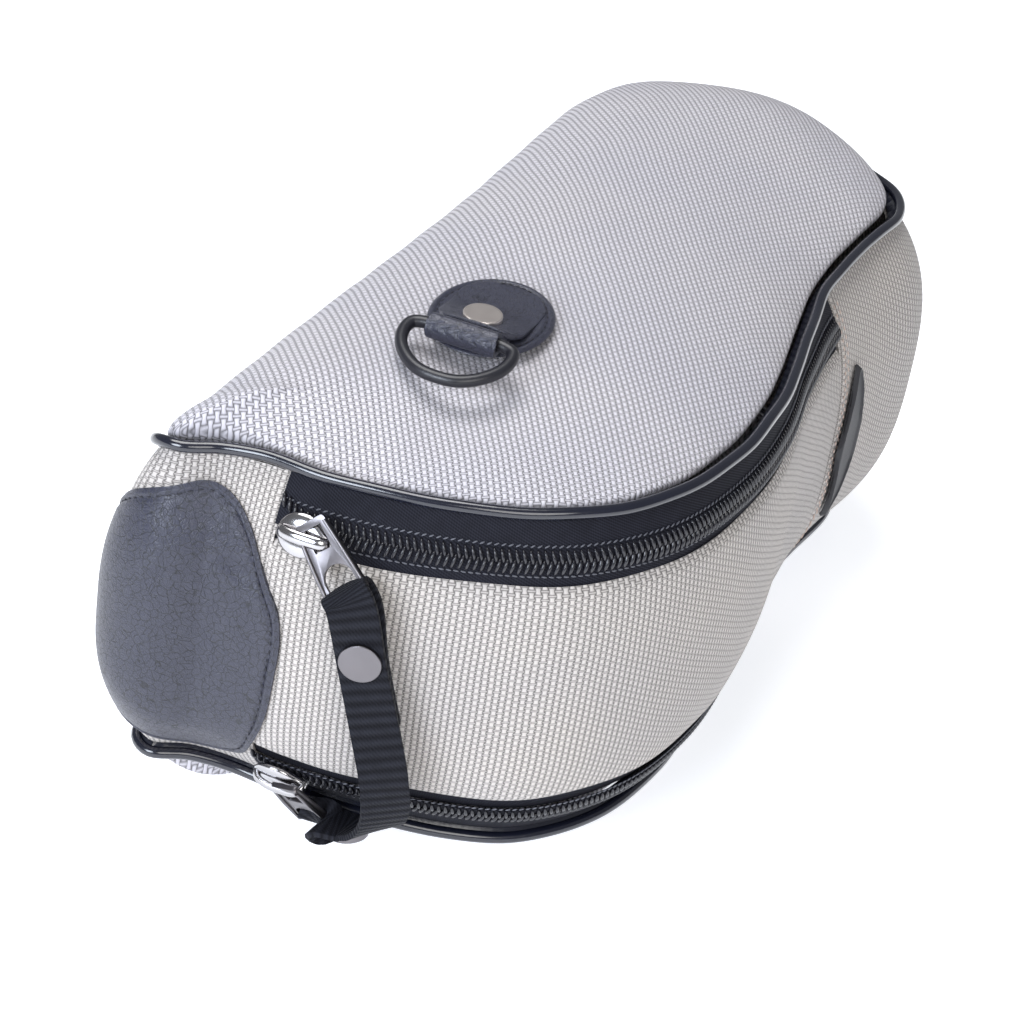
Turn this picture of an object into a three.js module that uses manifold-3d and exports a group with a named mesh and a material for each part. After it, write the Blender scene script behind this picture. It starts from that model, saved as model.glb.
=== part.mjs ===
// A soft padded pouch for a camera lens, lying on its side.
// It has two domed side panels, a gusset that runs all round between them, a zipped lid strip
// in the gusset, black piping on both seams, a leather patch on the top end and a webbing strap
// that ties the two zip pulls together.
// Millimetres. +X runs to the round bottom end, -Y is the front with the lid, +Z is up.

import * as THREE from 'three';
import { mergeVertices } from 'three/addons/utils/BufferGeometryUtils.js';
import Module from 'manifold-3d';

const wasm = await Module();
wasm.setup();

// Driving sizes of the body
const LENGTH = 231;          // between the seams at the top end and the bottom end
const WIDTH = 101;           // between the seams at the front belly and the back
const SEAM_HALF = 42.5;      // from the middle plane to each seam
const DOME = 12.5;           // rise of a side panel above its seam
const REST_DEPTH = 51;       // from the middle plane to the flat that the lower panel rests on
const PANEL_WALL = 4;        // padded side panel
const GUSSET_WALL = 3;       // padded gusset and lid strip
const BULGE = 12;            // how far the fullest part of the gusset swells out of its seams
const SEAM_SINK = 12;        // how far the seam sinks at its lowest, behind the top end's corner
const TUCK = 7;              // how far the lower seam is tucked in at most
const GAP = 0.35;            // clearance between neighbouring pieces

// Piping
const PIPING_RADIUS = 1.3;
const EDGE_INSET = 1.35;     // from the seam to the edges of panel and gusset
const PIPING_OUT = 0.75;     // the piping's centre lies outside and above the seam by this much
const PIPING_FLANGE = 2.6;   // the sewn-in flange behind the round cord
const FLANGE_THICK = 0.5;

// Zippers
const CHAIN_FROM_MIDDLE = 33.5;
const CHAIN_WIDTH = 5.2;
const CHAIN_THICK = 2.2;
const TAPE_THICK = 0.8;
const TAPE_LID_SIDE = 5.6;   // visible width of tape between the chain and the lid strip
const SLIDER_LENGTH = 12;
const SLIDER_WIDTH = 9;
const SLIDER_PLATE = 2.2;
const BAIL_THICK = 1.3;
const BAIL_SPAN = 8;
const PULL_LENGTH = 17;
const PULL_WIDTH = 9.4;
const PULL_THICK = 1.1;
const PULL_RIM = 1.5;
const PULL_EYE = 5;          // height of the eye that the bail passes through
const PULL_TURN = 0.78;      // radians that the upper pull swings towards the belly
const LOWER_PULL_TURN = 0.35;

// Strap between the pulls
const STRAP_WIDTH = 10;
const STRAP_THICK = 1.4;
const STRAP_REACH = 60;      // size that the strap's route is given in shares of
const UPPER_CAP_STEP = 4;    // the strap's steps that carry the two caps
const LOWER_CAP_STEP = 26;
const CAP_RADIUS = 4.4;
const CAP_THICK = 1.6;

// Leather patch on the top end, blank oval patch on the front, belt loop on the back
const PATCH_THICK = 1.6;
const PATCH_LIFT = 0.7;      // both patches stand a little off the curved cloth
const PATCH_HEIGHT = 75;
const OVAL_LENGTH = 43;
const OVAL_WIDTH = 13;
const OVAL_THICK = 1.6;
const LOOP_LENGTH = 62;
const LOOP_WIDTH = 38;
const LOOP_THICK = 1.8;
const LOOP_ROOM = 8;

// Tab and ring for a shoulder strap, one on each side panel
const TAB_X = -14;
const TAB_Y = 6.5;
const TAB_TURN = 4;          // degrees that the tab points towards the front
const TAB_LENGTH = 34;
const TAB_WIDTH = 26;
const TAB_THICK = 1.7;
const TAB_DENT = 2.5;        // how deep the upper tab sits in its panel
const SEAT_REACH_X = 36;     // the pressed seat under tab and ring, along and across
const SEAT_REACH_Y = 23;
const SEAT_SHIFT = 9;        // the seat reaches from under the tab to under the ring
const SEAT_MIDDLE = TAB_X - SEAT_SHIFT;
const STRIP_WIDTH = 15;
const STRIP_THICK = 1.5;
const STRIP_REACH = 17;      // from the middle of the tab to the ring's bar
const RIVET_OFFSET = 7;      // from the middle of the tab towards the bar
const RING_WIRE = 1.35;      // radius of the ring's wire
const RING_WIDTH = 27;
const RING_DEPTH = 17.5;
const RING_TILT = 12;        // degrees that the bow leans down onto the panel
const RIVET_RADIUS = 4.4;
const RIVET_THICK = 1.5;
const UNDER_CLEAR = 0.5;     // air between the lower ring and the surface below the pouch

// The seam seen from above, as shares of LENGTH along and of WIDTH across
const SEAM_OUTLINE = [
  { along: 0.002, across: 0.425 },
  { along: 0.020, across: 0.350 },
  { along: 0.028, across: 0.270 },
  { along: 0.030, across: 0.135 },
  { along: 0.043, across: -0.025 },
  { along: 0.074, across: -0.205 },
  { along: 0.117, across: -0.345 },
  { along: 0.194, across: -0.460 },
  { along: 0.300, across: -0.510 },
  { along: 0.408, across: -0.503 },
  { along: 0.524, across: -0.455 },
  { along: 0.630, across: -0.412 },
  { along: 0.735, across: -0.412 },
  { along: 0.830, across: -0.425 },
  { along: 0.890, across: -0.376 },
  { along: 0.934, across: -0.246 },
  { along: 0.978, across: -0.050 },
  { along: 0.986, across: 0.150 },
  { along: 0.950, across: 0.325 },
  { along: 0.855, across: 0.420 },
  { along: 0.710, across: 0.435 },
  { along: 0.520, across: 0.440 },
  { along: 0.305, across: 0.460 },
  { along: 0.130, across: 0.485 },
  { along: 0.055, across: 0.490 },
  { along: 0.012, across: 0.474 },
];

// Swell of the gusset as a share of BULGE, at shares of the way round the seam
const GUSSET_SWELL = [
  { at: 0.00, swell: 0.65 },
  { at: 0.06, swell: 0.70 },
  { at: 0.12, swell: 0.58 },
  { at: 0.20, swell: 0.50 },
  { at: 0.30, swell: 0.50 },
  { at: 0.375, swell: 0.85 },
  { at: 0.45, swell: 1.05 },
  { at: 0.52, swell: 1.00 },
  { at: 0.60, swell: 0.75 },
  { at: 0.70, swell: 0.45 },
  { at: 0.90, swell: 0.45 },
  { at: 1.00, swell: 0.65 },
];

// The seams' own shape at shares of the way round: how far the upper and the lower one sink
// towards the middle plane as shares of SEAM_SINK, the shoulder of the panels (0 slopes evenly
// down to the seam, 1 is a full round shoulder that hides it), and how far the lower seam is
// tucked in as a share of TUCK
const SEAM_SHAPE = [
  { at: 0.00, sink: 0.10, sink_low: 0.60, shoulder: 0.50, tuck: 0.20 },
  { at: 0.05, sink: 0.00, sink_low: 0.35, shoulder: 0.20, tuck: 0.60 },
  { at: 0.15, sink: 0.00, sink_low: 0.00, shoulder: 0.15, tuck: 0.65 },
  { at: 0.30, sink: 0.00, sink_low: 0.00, shoulder: 0.10, tuck: 0.75 },
  { at: 0.42, sink: 0.00, sink_low: 0.00, shoulder: 0.10, tuck: 0.15 },
  { at: 0.50, sink: 0.25, sink_low: 0.25, shoulder: 0.85, tuck: 0.00 },
  { at: 0.60, sink: 0.60, sink_low: 0.35, shoulder: 1.00, tuck: 0.00 },
  { at: 0.88, sink: 0.75, sink_low: 0.45, shoulder: 1.00, tuck: 0.00 },
  { at: 0.965, sink: 1.00, sink_low: 0.90, shoulder: 1.00, tuck: 0.20 },
  { at: 1.00, sink: 0.10, sink_low: 0.60, shoulder: 0.50, tuck: 0.20 },
];

// Where the pieces of the gusset begin and end, as shares of the way round the seam
const ZIP_START = 0.041;
const PATCH_MIDDLE = 0.012;
const SLIDER_AT = 0.052;
const WAIST = 0.366;
const OVAL_AT = 0.380;
const LOOP_AT = 0.905;
const BOTTOM_SPLIT = 0.585;
const BACK_SPLIT = 0.962;

// The strap's route: 'beyond' is along the seam from the slider, 'height' from the middle plane
// and 'out' from the gusset, all as shares of STRAP_REACH; 'turn' is the band's turn about its
// own run in degrees
const STRAP_ROUTE = [
  { beyond: 0.170, height: 0.370, out: 0.090, turn: 0 },
  { beyond: 0.240, height: 0.180, out: 0.115, turn: 0 },
  { beyond: 0.310, height: -0.050, out: 0.130, turn: -4 },
  { beyond: 0.370, height: -0.300, out: 0.145, turn: -10 },
  { beyond: 0.385, height: -0.510, out: 0.150, turn: -25 },
  { beyond: 0.340, height: -0.640, out: 0.150, turn: -55 },
  { beyond: 0.275, height: -0.690, out: 0.145, turn: -80 },
  { beyond: 0.192, height: -0.702, out: 0.138, turn: -88 },
];

// Leather patch on the top end: its upper and lower edge at places along the seam, all as
// shares of half of PATCH_HEIGHT
const PATCH_OUTLINE = [
  { along: -0.60, high: 0.20, low: -0.14 },
  { along: -0.54, high: 0.42, low: -0.42 },
  { along: -0.42, high: 0.68, low: -0.68 },
  { along: -0.26, high: 0.88, low: -0.88 },
  { along: -0.05, high: 0.99, low: -1.00 },
  { along: 0.22, high: 0.90, low: -1.00 },
  { along: 0.38, high: 0.71, low: -0.90 },
  { along: 0.50, high: 0.50, low: -0.66 },
  { along: 0.58, high: 0.36, low: -0.40 },
  { along: 0.63, high: 0.24, low: -0.02 },
];

// The crest of a side panel: a line along the pouch, nearer to the back
const CREST_START = 0.16;
const CREST_END = 0.86;
const CREST_ACROSS = 0.09;

const SEAM_STEPS = 66;          // steps round the seam that all pieces share
const CORNER_CROWD = 0.07;      // how strongly the steps crowd at the top end's corner
const PANEL_RINGS = [0, 0.05, 0.16, 0.34, 0.56, 0.79];
const FIRST_X = -80;            // where the outline begins

const beige = { color: 0xb9b4a6, roughness: 0.9, metalness: 0 };
const black_trim = { color: 0x14151c, roughness: 0.3, metalness: 0 };
const black_tape = { color: 0x17181d, roughness: 0.85, metalness: 0 };
const black_leather = { color: 0x23262f, roughness: 0.5, metalness: 0 };
const black_coil = { color: 0x1a1b20, roughness: 0.35, metalness: 0 };
const nickel = { color: 0xc8c6c4, roughness: 0.15, metalness: 1 };
const satin_nickel = { color: 0xa9a3a0, roughness: 0.35, metalness: 1 };
const black_paint = { color: 0x1b1c22, roughness: 0.35, metalness: 0.1 };
const black_rubber = { color: 0x202127, roughness: 0.6, metalness: 0 };

const pouch = new THREE.Group();

function add(name, geometry, look) {
  const mesh = new THREE.Mesh(geometry, new THREE.MeshStandardMaterial(look));
  mesh.name = name;
  pouch.add(mesh);
  return mesh;
}

function smooth_step(value) {
  const held = Math.min(1, Math.max(0, value));
  return held * held * (3 - 2 * held);
}

// Reads a column of a table that has its places in the column 'at'
function read_table(table, at, column) {
  const next = table.findIndex((row) => row.at >= at);
  if (next <= 0) return table[0][column];
  const before = table[next - 1];
  const after = table[next];
  const share = (at - before.at) / (after.at - before.at);
  return before[column] + (after[column] - before[column]) * smooth_step(share);
}

const seam_curve = new THREE.CatmullRomCurve3(
  SEAM_OUTLINE.map((row) => new THREE.Vector3(FIRST_X + row.along * LENGTH, row.across * WIDTH, 0)),
  true,
  'centripetal',
);
seam_curve.arcLengthDivisions = 2000;
const SEAM_ROUND = seam_curve.getLength();

// A point of the seam with its outward direction; 'at' is a share of the way round
function seam_at(at) {
  const turn = ((at % 1) + 1) % 1;
  const point = seam_curve.getPointAt(turn);
  const along = seam_curve.getTangentAt(turn);
  const out = new THREE.Vector3(-along.y, along.x, 0).multiplyScalar(-1).normalize();
  return { point, along, out };
}

function seam_shape_at(at, column) {
  const turn = ((at % 1) + 1) % 1;
  return read_table(SEAM_SHAPE, turn, column);
}

// Height of a seam from the middle plane: the upper one with side above zero, or the lower
function seam_half_at(at, side) {
  return SEAM_HALF - SEAM_SINK * seam_shape_at(at, side < 0 ? 'sink_low' : 'sink');
}

// The weight of the pouch tucks the lower seam in
function tuck_at(at) {
  return TUCK * seam_shape_at(at, 'tuck');
}

// The seam of one panel: the lower one, with side below zero, is tucked in
function panel_seam_at(at, side) {
  const seam = seam_at(at);
  if (side < 0) seam.point.addScaledVector(seam.out, -tuck_at(at));
  return seam;
}

function swell_at(at) {
  const turn = ((at % 1) + 1) % 1;
  return BULGE * read_table(GUSSET_SWELL, turn, 'swell');
}

const edge_height = SEAM_HALF - EDGE_INSET;

// A point on the gusset: 'height' from the middle plane, 'out' from the gusset's outer face
function gusset_point(at, height, out) {
  const seam = seam_at(at);
  const drop = SEAM_HALF - seam_half_at(at, height);
  const level = height - Math.sign(height) * drop * Math.min(1, Math.abs(height) / edge_height);
  const share = Math.min(1, Math.abs(height) / edge_height);
  const tucked = height < 0 ? tuck_at(at) * share ** 3 : 0;
  const reach = swell_at(at) * (1 - share ** 3) - tucked + out;
  return seam.point.clone().addScaledVector(seam.out, reach).setZ(level);
}

// Frame on the gusset for hard pieces: its axes run along the seam, up and outward
function gusset_frame(at, height) {
  const seam = seam_at(at);
  const step = 0.5;
  const above = gusset_point(at, height + step, 0);
  const below = gusset_point(at, height - step, 0);
  const up = above.sub(below).normalize();
  const along = seam.along.clone();
  const facing = new THREE.Vector3().crossVectors(along, up).normalize();
  const matrix = new THREE.Matrix4().makeBasis(along, up, facing);
  matrix.setPosition(gusset_point(at, height, 0));
  return matrix;
}

function geometry_of(points, faces) {
  const geometry = new THREE.BufferGeometry();
  const flat = points.flatMap((point) => [point.x, point.y, point.z]);
  geometry.setAttribute('position', new THREE.Float32BufferAttribute(flat, 3));
  geometry.setIndex(faces.flat());
  let volume = 0;
  for (const [a, b, c] of faces) {
    volume += points[a].dot(new THREE.Vector3().crossVectors(points[b], points[c]));
  }
  if (volume < 0) geometry.setIndex(faces.map(([a, b, c]) => [a, c, b]).flat());
  return geometry;
}

// The shared steps round the seam, crowded where the corner of the top end is tight
function station_at(step, finer = 1) {
  const share = step / (SEAM_STEPS * finer);
  return share - CORNER_CROWD * Math.sin(2 * Math.PI * share);
}

// The steps that lie between two places, with both ends
function stations_between(from, to, finer = 1) {
  const steps = SEAM_STEPS * finer;
  const margin = 0.2 / steps;
  const inside = [];
  for (let step = -steps; step < 2 * steps; step += 1) {
    const at = station_at(step, finer);
    if (at > from + margin && at < to - margin) inside.push(at);
  }
  return [from, ...inside, to];
}

// A closed plate over a grid: place(column, row, side) gives its points, with side 0 outside
function plate(columns, rows, place) {
  const points = [];
  const faces = [];
  const index = (column, row, side) => (side * (rows + 1) + row) * (columns + 1) + column;
  for (let side = 0; side < 2; side += 1) {
    for (let row = 0; row <= rows; row += 1) {
      for (let column = 0; column <= columns; column += 1) {
        points.push(place(column / columns, row / rows, side));
      }
    }
  }
  const quad = (a, b, c, d) => faces.push([a, b, c], [a, c, d]);
  for (let row = 0; row < rows; row += 1) {
    for (let column = 0; column < columns; column += 1) {
      const corners = [[column, row], [column + 1, row], [column + 1, row + 1], [column, row + 1]];
      quad(...corners.map(([i, j]) => index(i, j, 0)));
      quad(...corners.reverse().map(([i, j]) => index(i, j, 1)));
    }
  }
  for (let column = 0; column < columns; column += 1) {
    quad(index(column + 1, 0, 0), index(column, 0, 0), index(column, 0, 1), index(column + 1, 0, 1));
    quad(index(column, rows, 0), index(column + 1, rows, 0), index(column + 1, rows, 1),
      index(column, rows, 1));
  }
  for (let row = 0; row < rows; row += 1) {
    quad(index(0, row, 0), index(0, row + 1, 0), index(0, row + 1, 1), index(0, row, 1));
    quad(index(columns, row + 1, 0), index(columns, row, 0), index(columns, row, 1),
      index(columns, row + 1, 1));
  }
  return geometry_of(points, faces);
}

// A closed section carried through a list of frames; an open run is capped at both ends
function swept(frames, section, closed) {
  const points = [];
  const faces = [];
  const sides = section.length;
  for (const frame of frames) {
    for (const [across, up] of section) points.push(frame(across, up));
  }
  const count = frames.length;
  const spans = closed ? count : count - 1;
  for (let i = 0; i < spans; i += 1) {
    const next = (i + 1) % count;
    for (let k = 0; k < sides; k += 1) {
      const beside = (k + 1) % sides;
      const a = i * sides + k;
      const b = i * sides + beside;
      const c = next * sides + beside;
      const d = next * sides + k;
      faces.push([a, b, c], [a, c, d]);
    }
  }
  if (!closed) {
    const outline = section.map(([across, up]) => new THREE.Vector2(across, up));
    const last = (count - 1) * sides;
    for (const [a, b, c] of THREE.ShapeUtils.triangulateShape(outline, [])) {
      faces.push([c, b, a], [last + a, last + b, last + c]);
    }
  }
  return geometry_of(points, faces);
}

function round_section(radius, sides) {
  const section = [];
  for (let k = 0; k < sides; k += 1) {
    const angle = (2 * Math.PI * k) / sides;
    section.push([radius * Math.cos(angle), radius * Math.sin(angle)]);
  }
  return section;
}

function to_solid(geometry) {
  const bare = geometry.clone();
  bare.deleteAttribute('normal');
  bare.deleteAttribute('uv');
  const merged = mergeVertices(bare, 1e-4);
  return new wasm.Manifold(new wasm.Mesh({
    numProp: 3,
    vertProperties: new Float32Array(merged.attributes.position.array),
    triVerts: new Uint32Array(merged.index.array),
  }));
}

function to_geometry(solid) {
  const mesh = solid.getMesh();
  const geometry = new THREE.BufferGeometry();
  geometry.setAttribute('position', new THREE.BufferAttribute(mesh.vertProperties, 3));
  geometry.setIndex(new THREE.BufferAttribute(mesh.triVerts, 1));
  return geometry;
}

function united(first, ...others) {
  let solid = to_solid(first);
  for (const other of others) solid = solid.add(to_solid(other));
  return to_geometry(solid);
}

// Side panels: rings that climb from the seam to the crest, with a dent where the tab sits
const stack_height = TAB_THICK + GAP * 3 + (RING_WIRE + GAP + STRIP_THICK) * 2;

// The crest point that a step round the seam climbs to; both sides of the crest share it
function crest_step(step) {
  const half = SEAM_STEPS / 2;
  const round = ((step % SEAM_STEPS) + SEAM_STEPS) % SEAM_STEPS;
  return round <= half ? round : SEAM_STEPS - round;
}

function crest_at(step) {
  const share = crest_step(step) / (SEAM_STEPS / 2);
  const along = CREST_START + (CREST_END - CREST_START) * share;
  return new THREE.Vector3(FIRST_X + along * LENGTH, CREST_ACROSS * WIDTH, 0);
}

function seat_height(side) {
  const upper = SEAM_HALF + DOME - TAB_DENT;
  const lower = REST_DEPTH - UNDER_CLEAR - stack_height;
  return side > 0 ? upper : lower;
}

function panel_height(x, y, at, ring, side) {
  const shoulder = seam_shape_at(at, 'shoulder');
  const even = 1 - (1 - ring) ** 2.2;
  const rounded = Math.sqrt(1 - (1 - ring) ** 2.6);
  const climb = even + (rounded - even) * shoulder;
  const foot = seam_half_at(at, side);
  let height = foot + (SEAM_HALF + DOME - foot) * climb;
  if (side < 0) height = Math.min(height, REST_DEPTH);
  const away = Math.hypot((x - SEAT_MIDDLE) / SEAT_REACH_X, (y - TAB_Y) / SEAT_REACH_Y);
  const pressed = smooth_step((1.6 - away) / 0.6);
  return height + (Math.min(height, seat_height(side)) - height) * pressed;
}

function side_panel(side) {
  const points = [];
  const faces = [];
  const rings = PANEL_RINGS.length;
  const place = (step, ring, inner) => {
    const at = station_at(step);
    const seam = panel_seam_at(at, side);
    const inset = EDGE_INSET + inner * PANEL_WALL * (1 - smooth_step(ring / 0.3));
    const foot = seam.point.clone().addScaledVector(seam.out, -inset);
    const point = foot.lerp(crest_at(step), ring);
    const height = panel_height(point.x, point.y, at, ring, side);
    return point.setZ(side * (height + 0.2 - inner * PANEL_WALL));
  };
  for (let inner = 0; inner < 2; inner += 1) {
    for (const ring of PANEL_RINGS) {
      for (let step = 0; step < SEAM_STEPS; step += 1) points.push(place(step, ring, inner));
    }
    for (let step = 0; step <= SEAM_STEPS / 2; step += 1) points.push(place(step, 1, inner));
  }
  const layer = rings * SEAM_STEPS + SEAM_STEPS / 2 + 1;
  const index = (step, ring, inner) => {
    const on_ring = ring * SEAM_STEPS + (step % SEAM_STEPS);
    const on_crest = rings * SEAM_STEPS + crest_step(step);
    const spot = ring < rings ? on_ring : on_crest;
    return inner * layer + spot;
  };
  for (let step = 0; step < SEAM_STEPS; step += 1) {
    for (let ring = 0; ring < rings; ring += 1) {
      for (let inner = 0; inner < 2; inner += 1) {
        const quad = [index(step, ring, inner), index(step + 1, ring, inner),
          index(step + 1, ring + 1, inner), index(step, ring + 1, inner)];
        if (inner) quad.reverse();
        faces.push([quad[0], quad[1], quad[2]], [quad[0], quad[2], quad[3]]);
      }
    }
    const a = index(step, 0, 0);
    const b = index(step + 1, 0, 0);
    const c = index(step + 1, 0, 1);
    const d = index(step, 0, 1);
    faces.push([b, a, d], [b, d, c]);
  }
  return geometry_of(points, faces);
}

// Piping: a round cord with the flange that is sewn into the seam
function piping(side) {
  const section = [];
  const half = Math.asin(FLANGE_THICK / 2 / PIPING_RADIUS);
  const sides = 6;
  for (let k = 0; k < sides; k += 1) {
    const angle = -0.75 * Math.PI + half + ((2 * Math.PI - 2 * half) * k) / (sides - 1);
    section.push([PIPING_OUT + PIPING_RADIUS * Math.cos(angle),
      PIPING_OUT + PIPING_RADIUS * Math.sin(angle)]);
  }
  const tip = PIPING_OUT - (PIPING_RADIUS + PIPING_FLANGE) * Math.SQRT1_2;
  const shift = (FLANGE_THICK / 2) * Math.SQRT1_2;
  section.push([tip - shift, tip + shift]);
  section.push([tip + shift, tip - shift]);
  const frames = [];
  for (let step = 0; step < SEAM_STEPS; step += 1) {
    const at = station_at(step);
    const seam = panel_seam_at(at, side);
    const half_here = seam_half_at(at, side);
    frames.push((across, up) => seam.point.clone().addScaledVector(seam.out, across)
      .setZ(side * (half_here + up)));
  }
  return swept(frames, section, true);
}

// A stretch of gusset cloth between two places round the seam and two heights.
// Its mitred edges leave room for the piping's flange.
function gusset_strip(from, to, low, high, wall, out, mitre_low, mitre_high) {
  const stations = stations_between(from, to);
  const columns = stations.length - 1;
  const rows = Math.abs(high - low) > SEAM_HALF ? 6 : 1;
  return plate(columns, rows, (u, v, side) => {
    const bottom = low + mitre_low * side * wall;
    const top = high - mitre_high * side * wall;
    const at = stations[Math.round(u * columns)];
    return gusset_point(at, bottom + (top - bottom) * v, out - side * wall);
  });
}

const end_gap = GAP / SEAM_ROUND;
const lid_edge = CHAIN_FROM_MIDDLE - TAPE_LID_SIDE;

function gusset_pieces() {
  add('gusset_bottom_front', gusset_strip(WAIST + end_gap, BOTTOM_SPLIT - end_gap,
    -edge_height, edge_height, GUSSET_WALL, 0, 1, 1), beige);
  add('gusset_back', gusset_strip(BOTTOM_SPLIT + end_gap, BACK_SPLIT - end_gap,
    -edge_height, edge_height, GUSSET_WALL, 0, 1, 1), beige);
  add('gusset_top_end', gusset_strip(BACK_SPLIT + end_gap, 1 + ZIP_START - end_gap,
    -edge_height, edge_height, GUSSET_WALL, 0, 1, 1), beige);
  add('lid_strip', gusset_strip(ZIP_START + end_gap, WAIST - end_gap,
    -lid_edge, lid_edge, GUSSET_WALL, 0, 0, 0), beige);
}

// Zippers: a tape on each side of a coil chain, the lid-side tape against the lid strip
function zipper(name, side) {
  const chain_half = CHAIN_WIDTH / 2;
  const low = side > 0 ? CHAIN_FROM_MIDDLE + chain_half + GAP : -edge_height;
  const high = side > 0 ? edge_height : -CHAIN_FROM_MIDDLE - chain_half - GAP;
  const upper = side > 0 ? 1 : 0;
  add('zip_tape_fixed_' + name, gusset_strip(ZIP_START + end_gap, WAIST - end_gap,
    low, high, TAPE_THICK, 0, 1 - upper, upper), black_tape);
  const near = side * (lid_edge + GAP);
  const far = side * (CHAIN_FROM_MIDDLE - chain_half - GAP);
  add('zip_tape_lid_' + name, gusset_strip(ZIP_START + end_gap, WAIST - end_gap,
    Math.min(near, far), Math.max(near, far), TAPE_THICK, -0.4, 0, 0), black_tape);
  const stations = stations_between(ZIP_START + end_gap, WAIST - end_gap);
  const frames = stations.map((at) => (across, up) => (
    gusset_point(at, side * CHAIN_FROM_MIDDLE + across, up)));
  const rim = 0.7;
  const top = CHAIN_THICK / 2;
  const section = [[-chain_half, -rim], [chain_half, -rim], [chain_half, rim / 2],
    [chain_half - rim, top], [-chain_half + rim, top], [-chain_half, rim / 2]];
  add('zip_chain_' + name, swept(frames, section, false), black_coil);
}

// Slider: a nosed plate on the chain with a bail; the pull hangs from the bail's near leg
const slider_out = CHAIN_THICK / 2 + GAP;
const bail_room = PULL_THICK + GAP * 2.5;
const leg_x = BAIL_SPAN / 2 - BAIL_THICK / 2;

function slider_outline() {
  const shape = new THREE.Shape();
  const half = SLIDER_LENGTH / 2;
  const wide = SLIDER_WIDTH / 2;
  shape.moveTo(-half, -wide * 0.55);
  shape.quadraticCurveTo(-half * 0.5, -wide * 0.9, -half * 0.1, -wide);
  shape.quadraticCurveTo(half, -wide, half, 0);
  shape.quadraticCurveTo(half, wide, -half * 0.1, wide);
  shape.quadraticCurveTo(-half * 0.5, wide * 0.9, -half, wide * 0.55);
  shape.closePath();
  return shape;
}

function slider(name, side) {
  const bevel = 0.5;
  const plate_solid = new THREE.ExtrudeGeometry(slider_outline(), {
    depth: SLIDER_PLATE - 2 * bevel, bevelThickness: bevel, bevelSize: bevel, bevelOffset: -bevel,
    bevelSegments: 1, curveSegments: 5,
  });
  plate_solid.translate(0, 0, bevel);
  const bail_shape = new THREE.Shape();
  const top = bail_room + BAIL_THICK;
  bail_shape.moveTo(-BAIL_SPAN / 2, -0.6);
  bail_shape.lineTo(-BAIL_SPAN / 2, top * 0.6);
  bail_shape.quadraticCurveTo(-BAIL_SPAN / 2, top, -BAIL_SPAN / 4, top);
  bail_shape.lineTo(BAIL_SPAN / 4, top);
  bail_shape.quadraticCurveTo(BAIL_SPAN / 2, top, BAIL_SPAN / 2, top * 0.6);
  bail_shape.lineTo(BAIL_SPAN / 2, -0.6);
  bail_shape.lineTo(leg_x - BAIL_THICK / 2, -0.6);
  bail_shape.lineTo(leg_x - BAIL_THICK / 2, bail_room);
  bail_shape.lineTo(-leg_x + BAIL_THICK / 2, bail_room);
  bail_shape.lineTo(-leg_x + BAIL_THICK / 2, -0.6);
  bail_shape.closePath();
  const bail = new THREE.ExtrudeGeometry(bail_shape, { depth: 2.4, bevelEnabled: false, curveSegments: 4 });
  bail.translate(0, 0, -1.2);
  bail.rotateX(Math.PI / 2);
  bail.translate(0, 0, SLIDER_PLATE);
  const solid = united(plate_solid, bail);
  solid.translate(0, 0, slider_out);
  solid.applyMatrix4(gusset_frame(SLIDER_AT, side * CHAIN_FROM_MIDDLE));
  add('slider_' + name, solid, nickel);
}

// Pull: a flat plate with an eye at each end, hanging along the gusset
const pull_out = slider_out + SLIDER_PLATE + GAP;

function pull_frame(side) {
  const frame = gusset_frame(SLIDER_AT, side * CHAIN_FROM_MIDDLE);
  const turn = new THREE.Matrix4().makeRotationZ(side > 0 ? PULL_TURN : LOWER_PULL_TURN);
  const shift = new THREE.Matrix4().makeTranslation(leg_x, 0, pull_out);
  return frame.multiply(shift).multiply(turn);
}

function pull(name, side) {
  const shape = new THREE.Shape();
  const wide = PULL_WIDTH / 2;
  const head = wide * 0.72;
  const eye_top = BAIL_THICK / 2 + GAP * 2 + 1.2;
  const top = eye_top + PULL_RIM;
  const low = top - PULL_LENGTH;
  shape.moveTo(-head, top - 1);
  shape.quadraticCurveTo(-head, top, -head + 1, top);
  shape.lineTo(head - 1, top);
  shape.quadraticCurveTo(head, top, head, top - 1);
  shape.lineTo(wide, low + 1);
  shape.quadraticCurveTo(wide, low, wide - 1, low);
  shape.lineTo(-wide + 1, low);
  shape.quadraticCurveTo(-wide, low, -wide, low + 1);
  shape.closePath();
  const eye = new THREE.Path();
  const eye_wide = head - PULL_RIM;
  eye.moveTo(-eye_wide, eye_top);
  eye.lineTo(-eye_wide, eye_top - PULL_EYE);
  eye.lineTo(eye_wide, eye_top - PULL_EYE);
  eye.lineTo(eye_wide, eye_top);
  eye.closePath();
  const slot = new THREE.Path();
  const slot_wide = wide - PULL_RIM;
  const slot_low = low + PULL_RIM;
  slot.moveTo(-slot_wide, slot_low);
  slot.lineTo(slot_wide, slot_low);
  slot.lineTo(slot_wide, slot_low + 2.5);
  slot.absarc(0, slot_low + 2.5, slot_wide, 0, Math.PI, false);
  slot.lineTo(-slot_wide, slot_low);
  slot.closePath();
  shape.holes.push(eye, slot);
  const solid = new THREE.ExtrudeGeometry(shape, {
    depth: PULL_THICK, bevelEnabled: false, curveSegments: 6,
  });
  solid.applyMatrix4(pull_frame(side));
  add('pull_' + name, solid, satin_nickel);
  return low;
}

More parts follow.
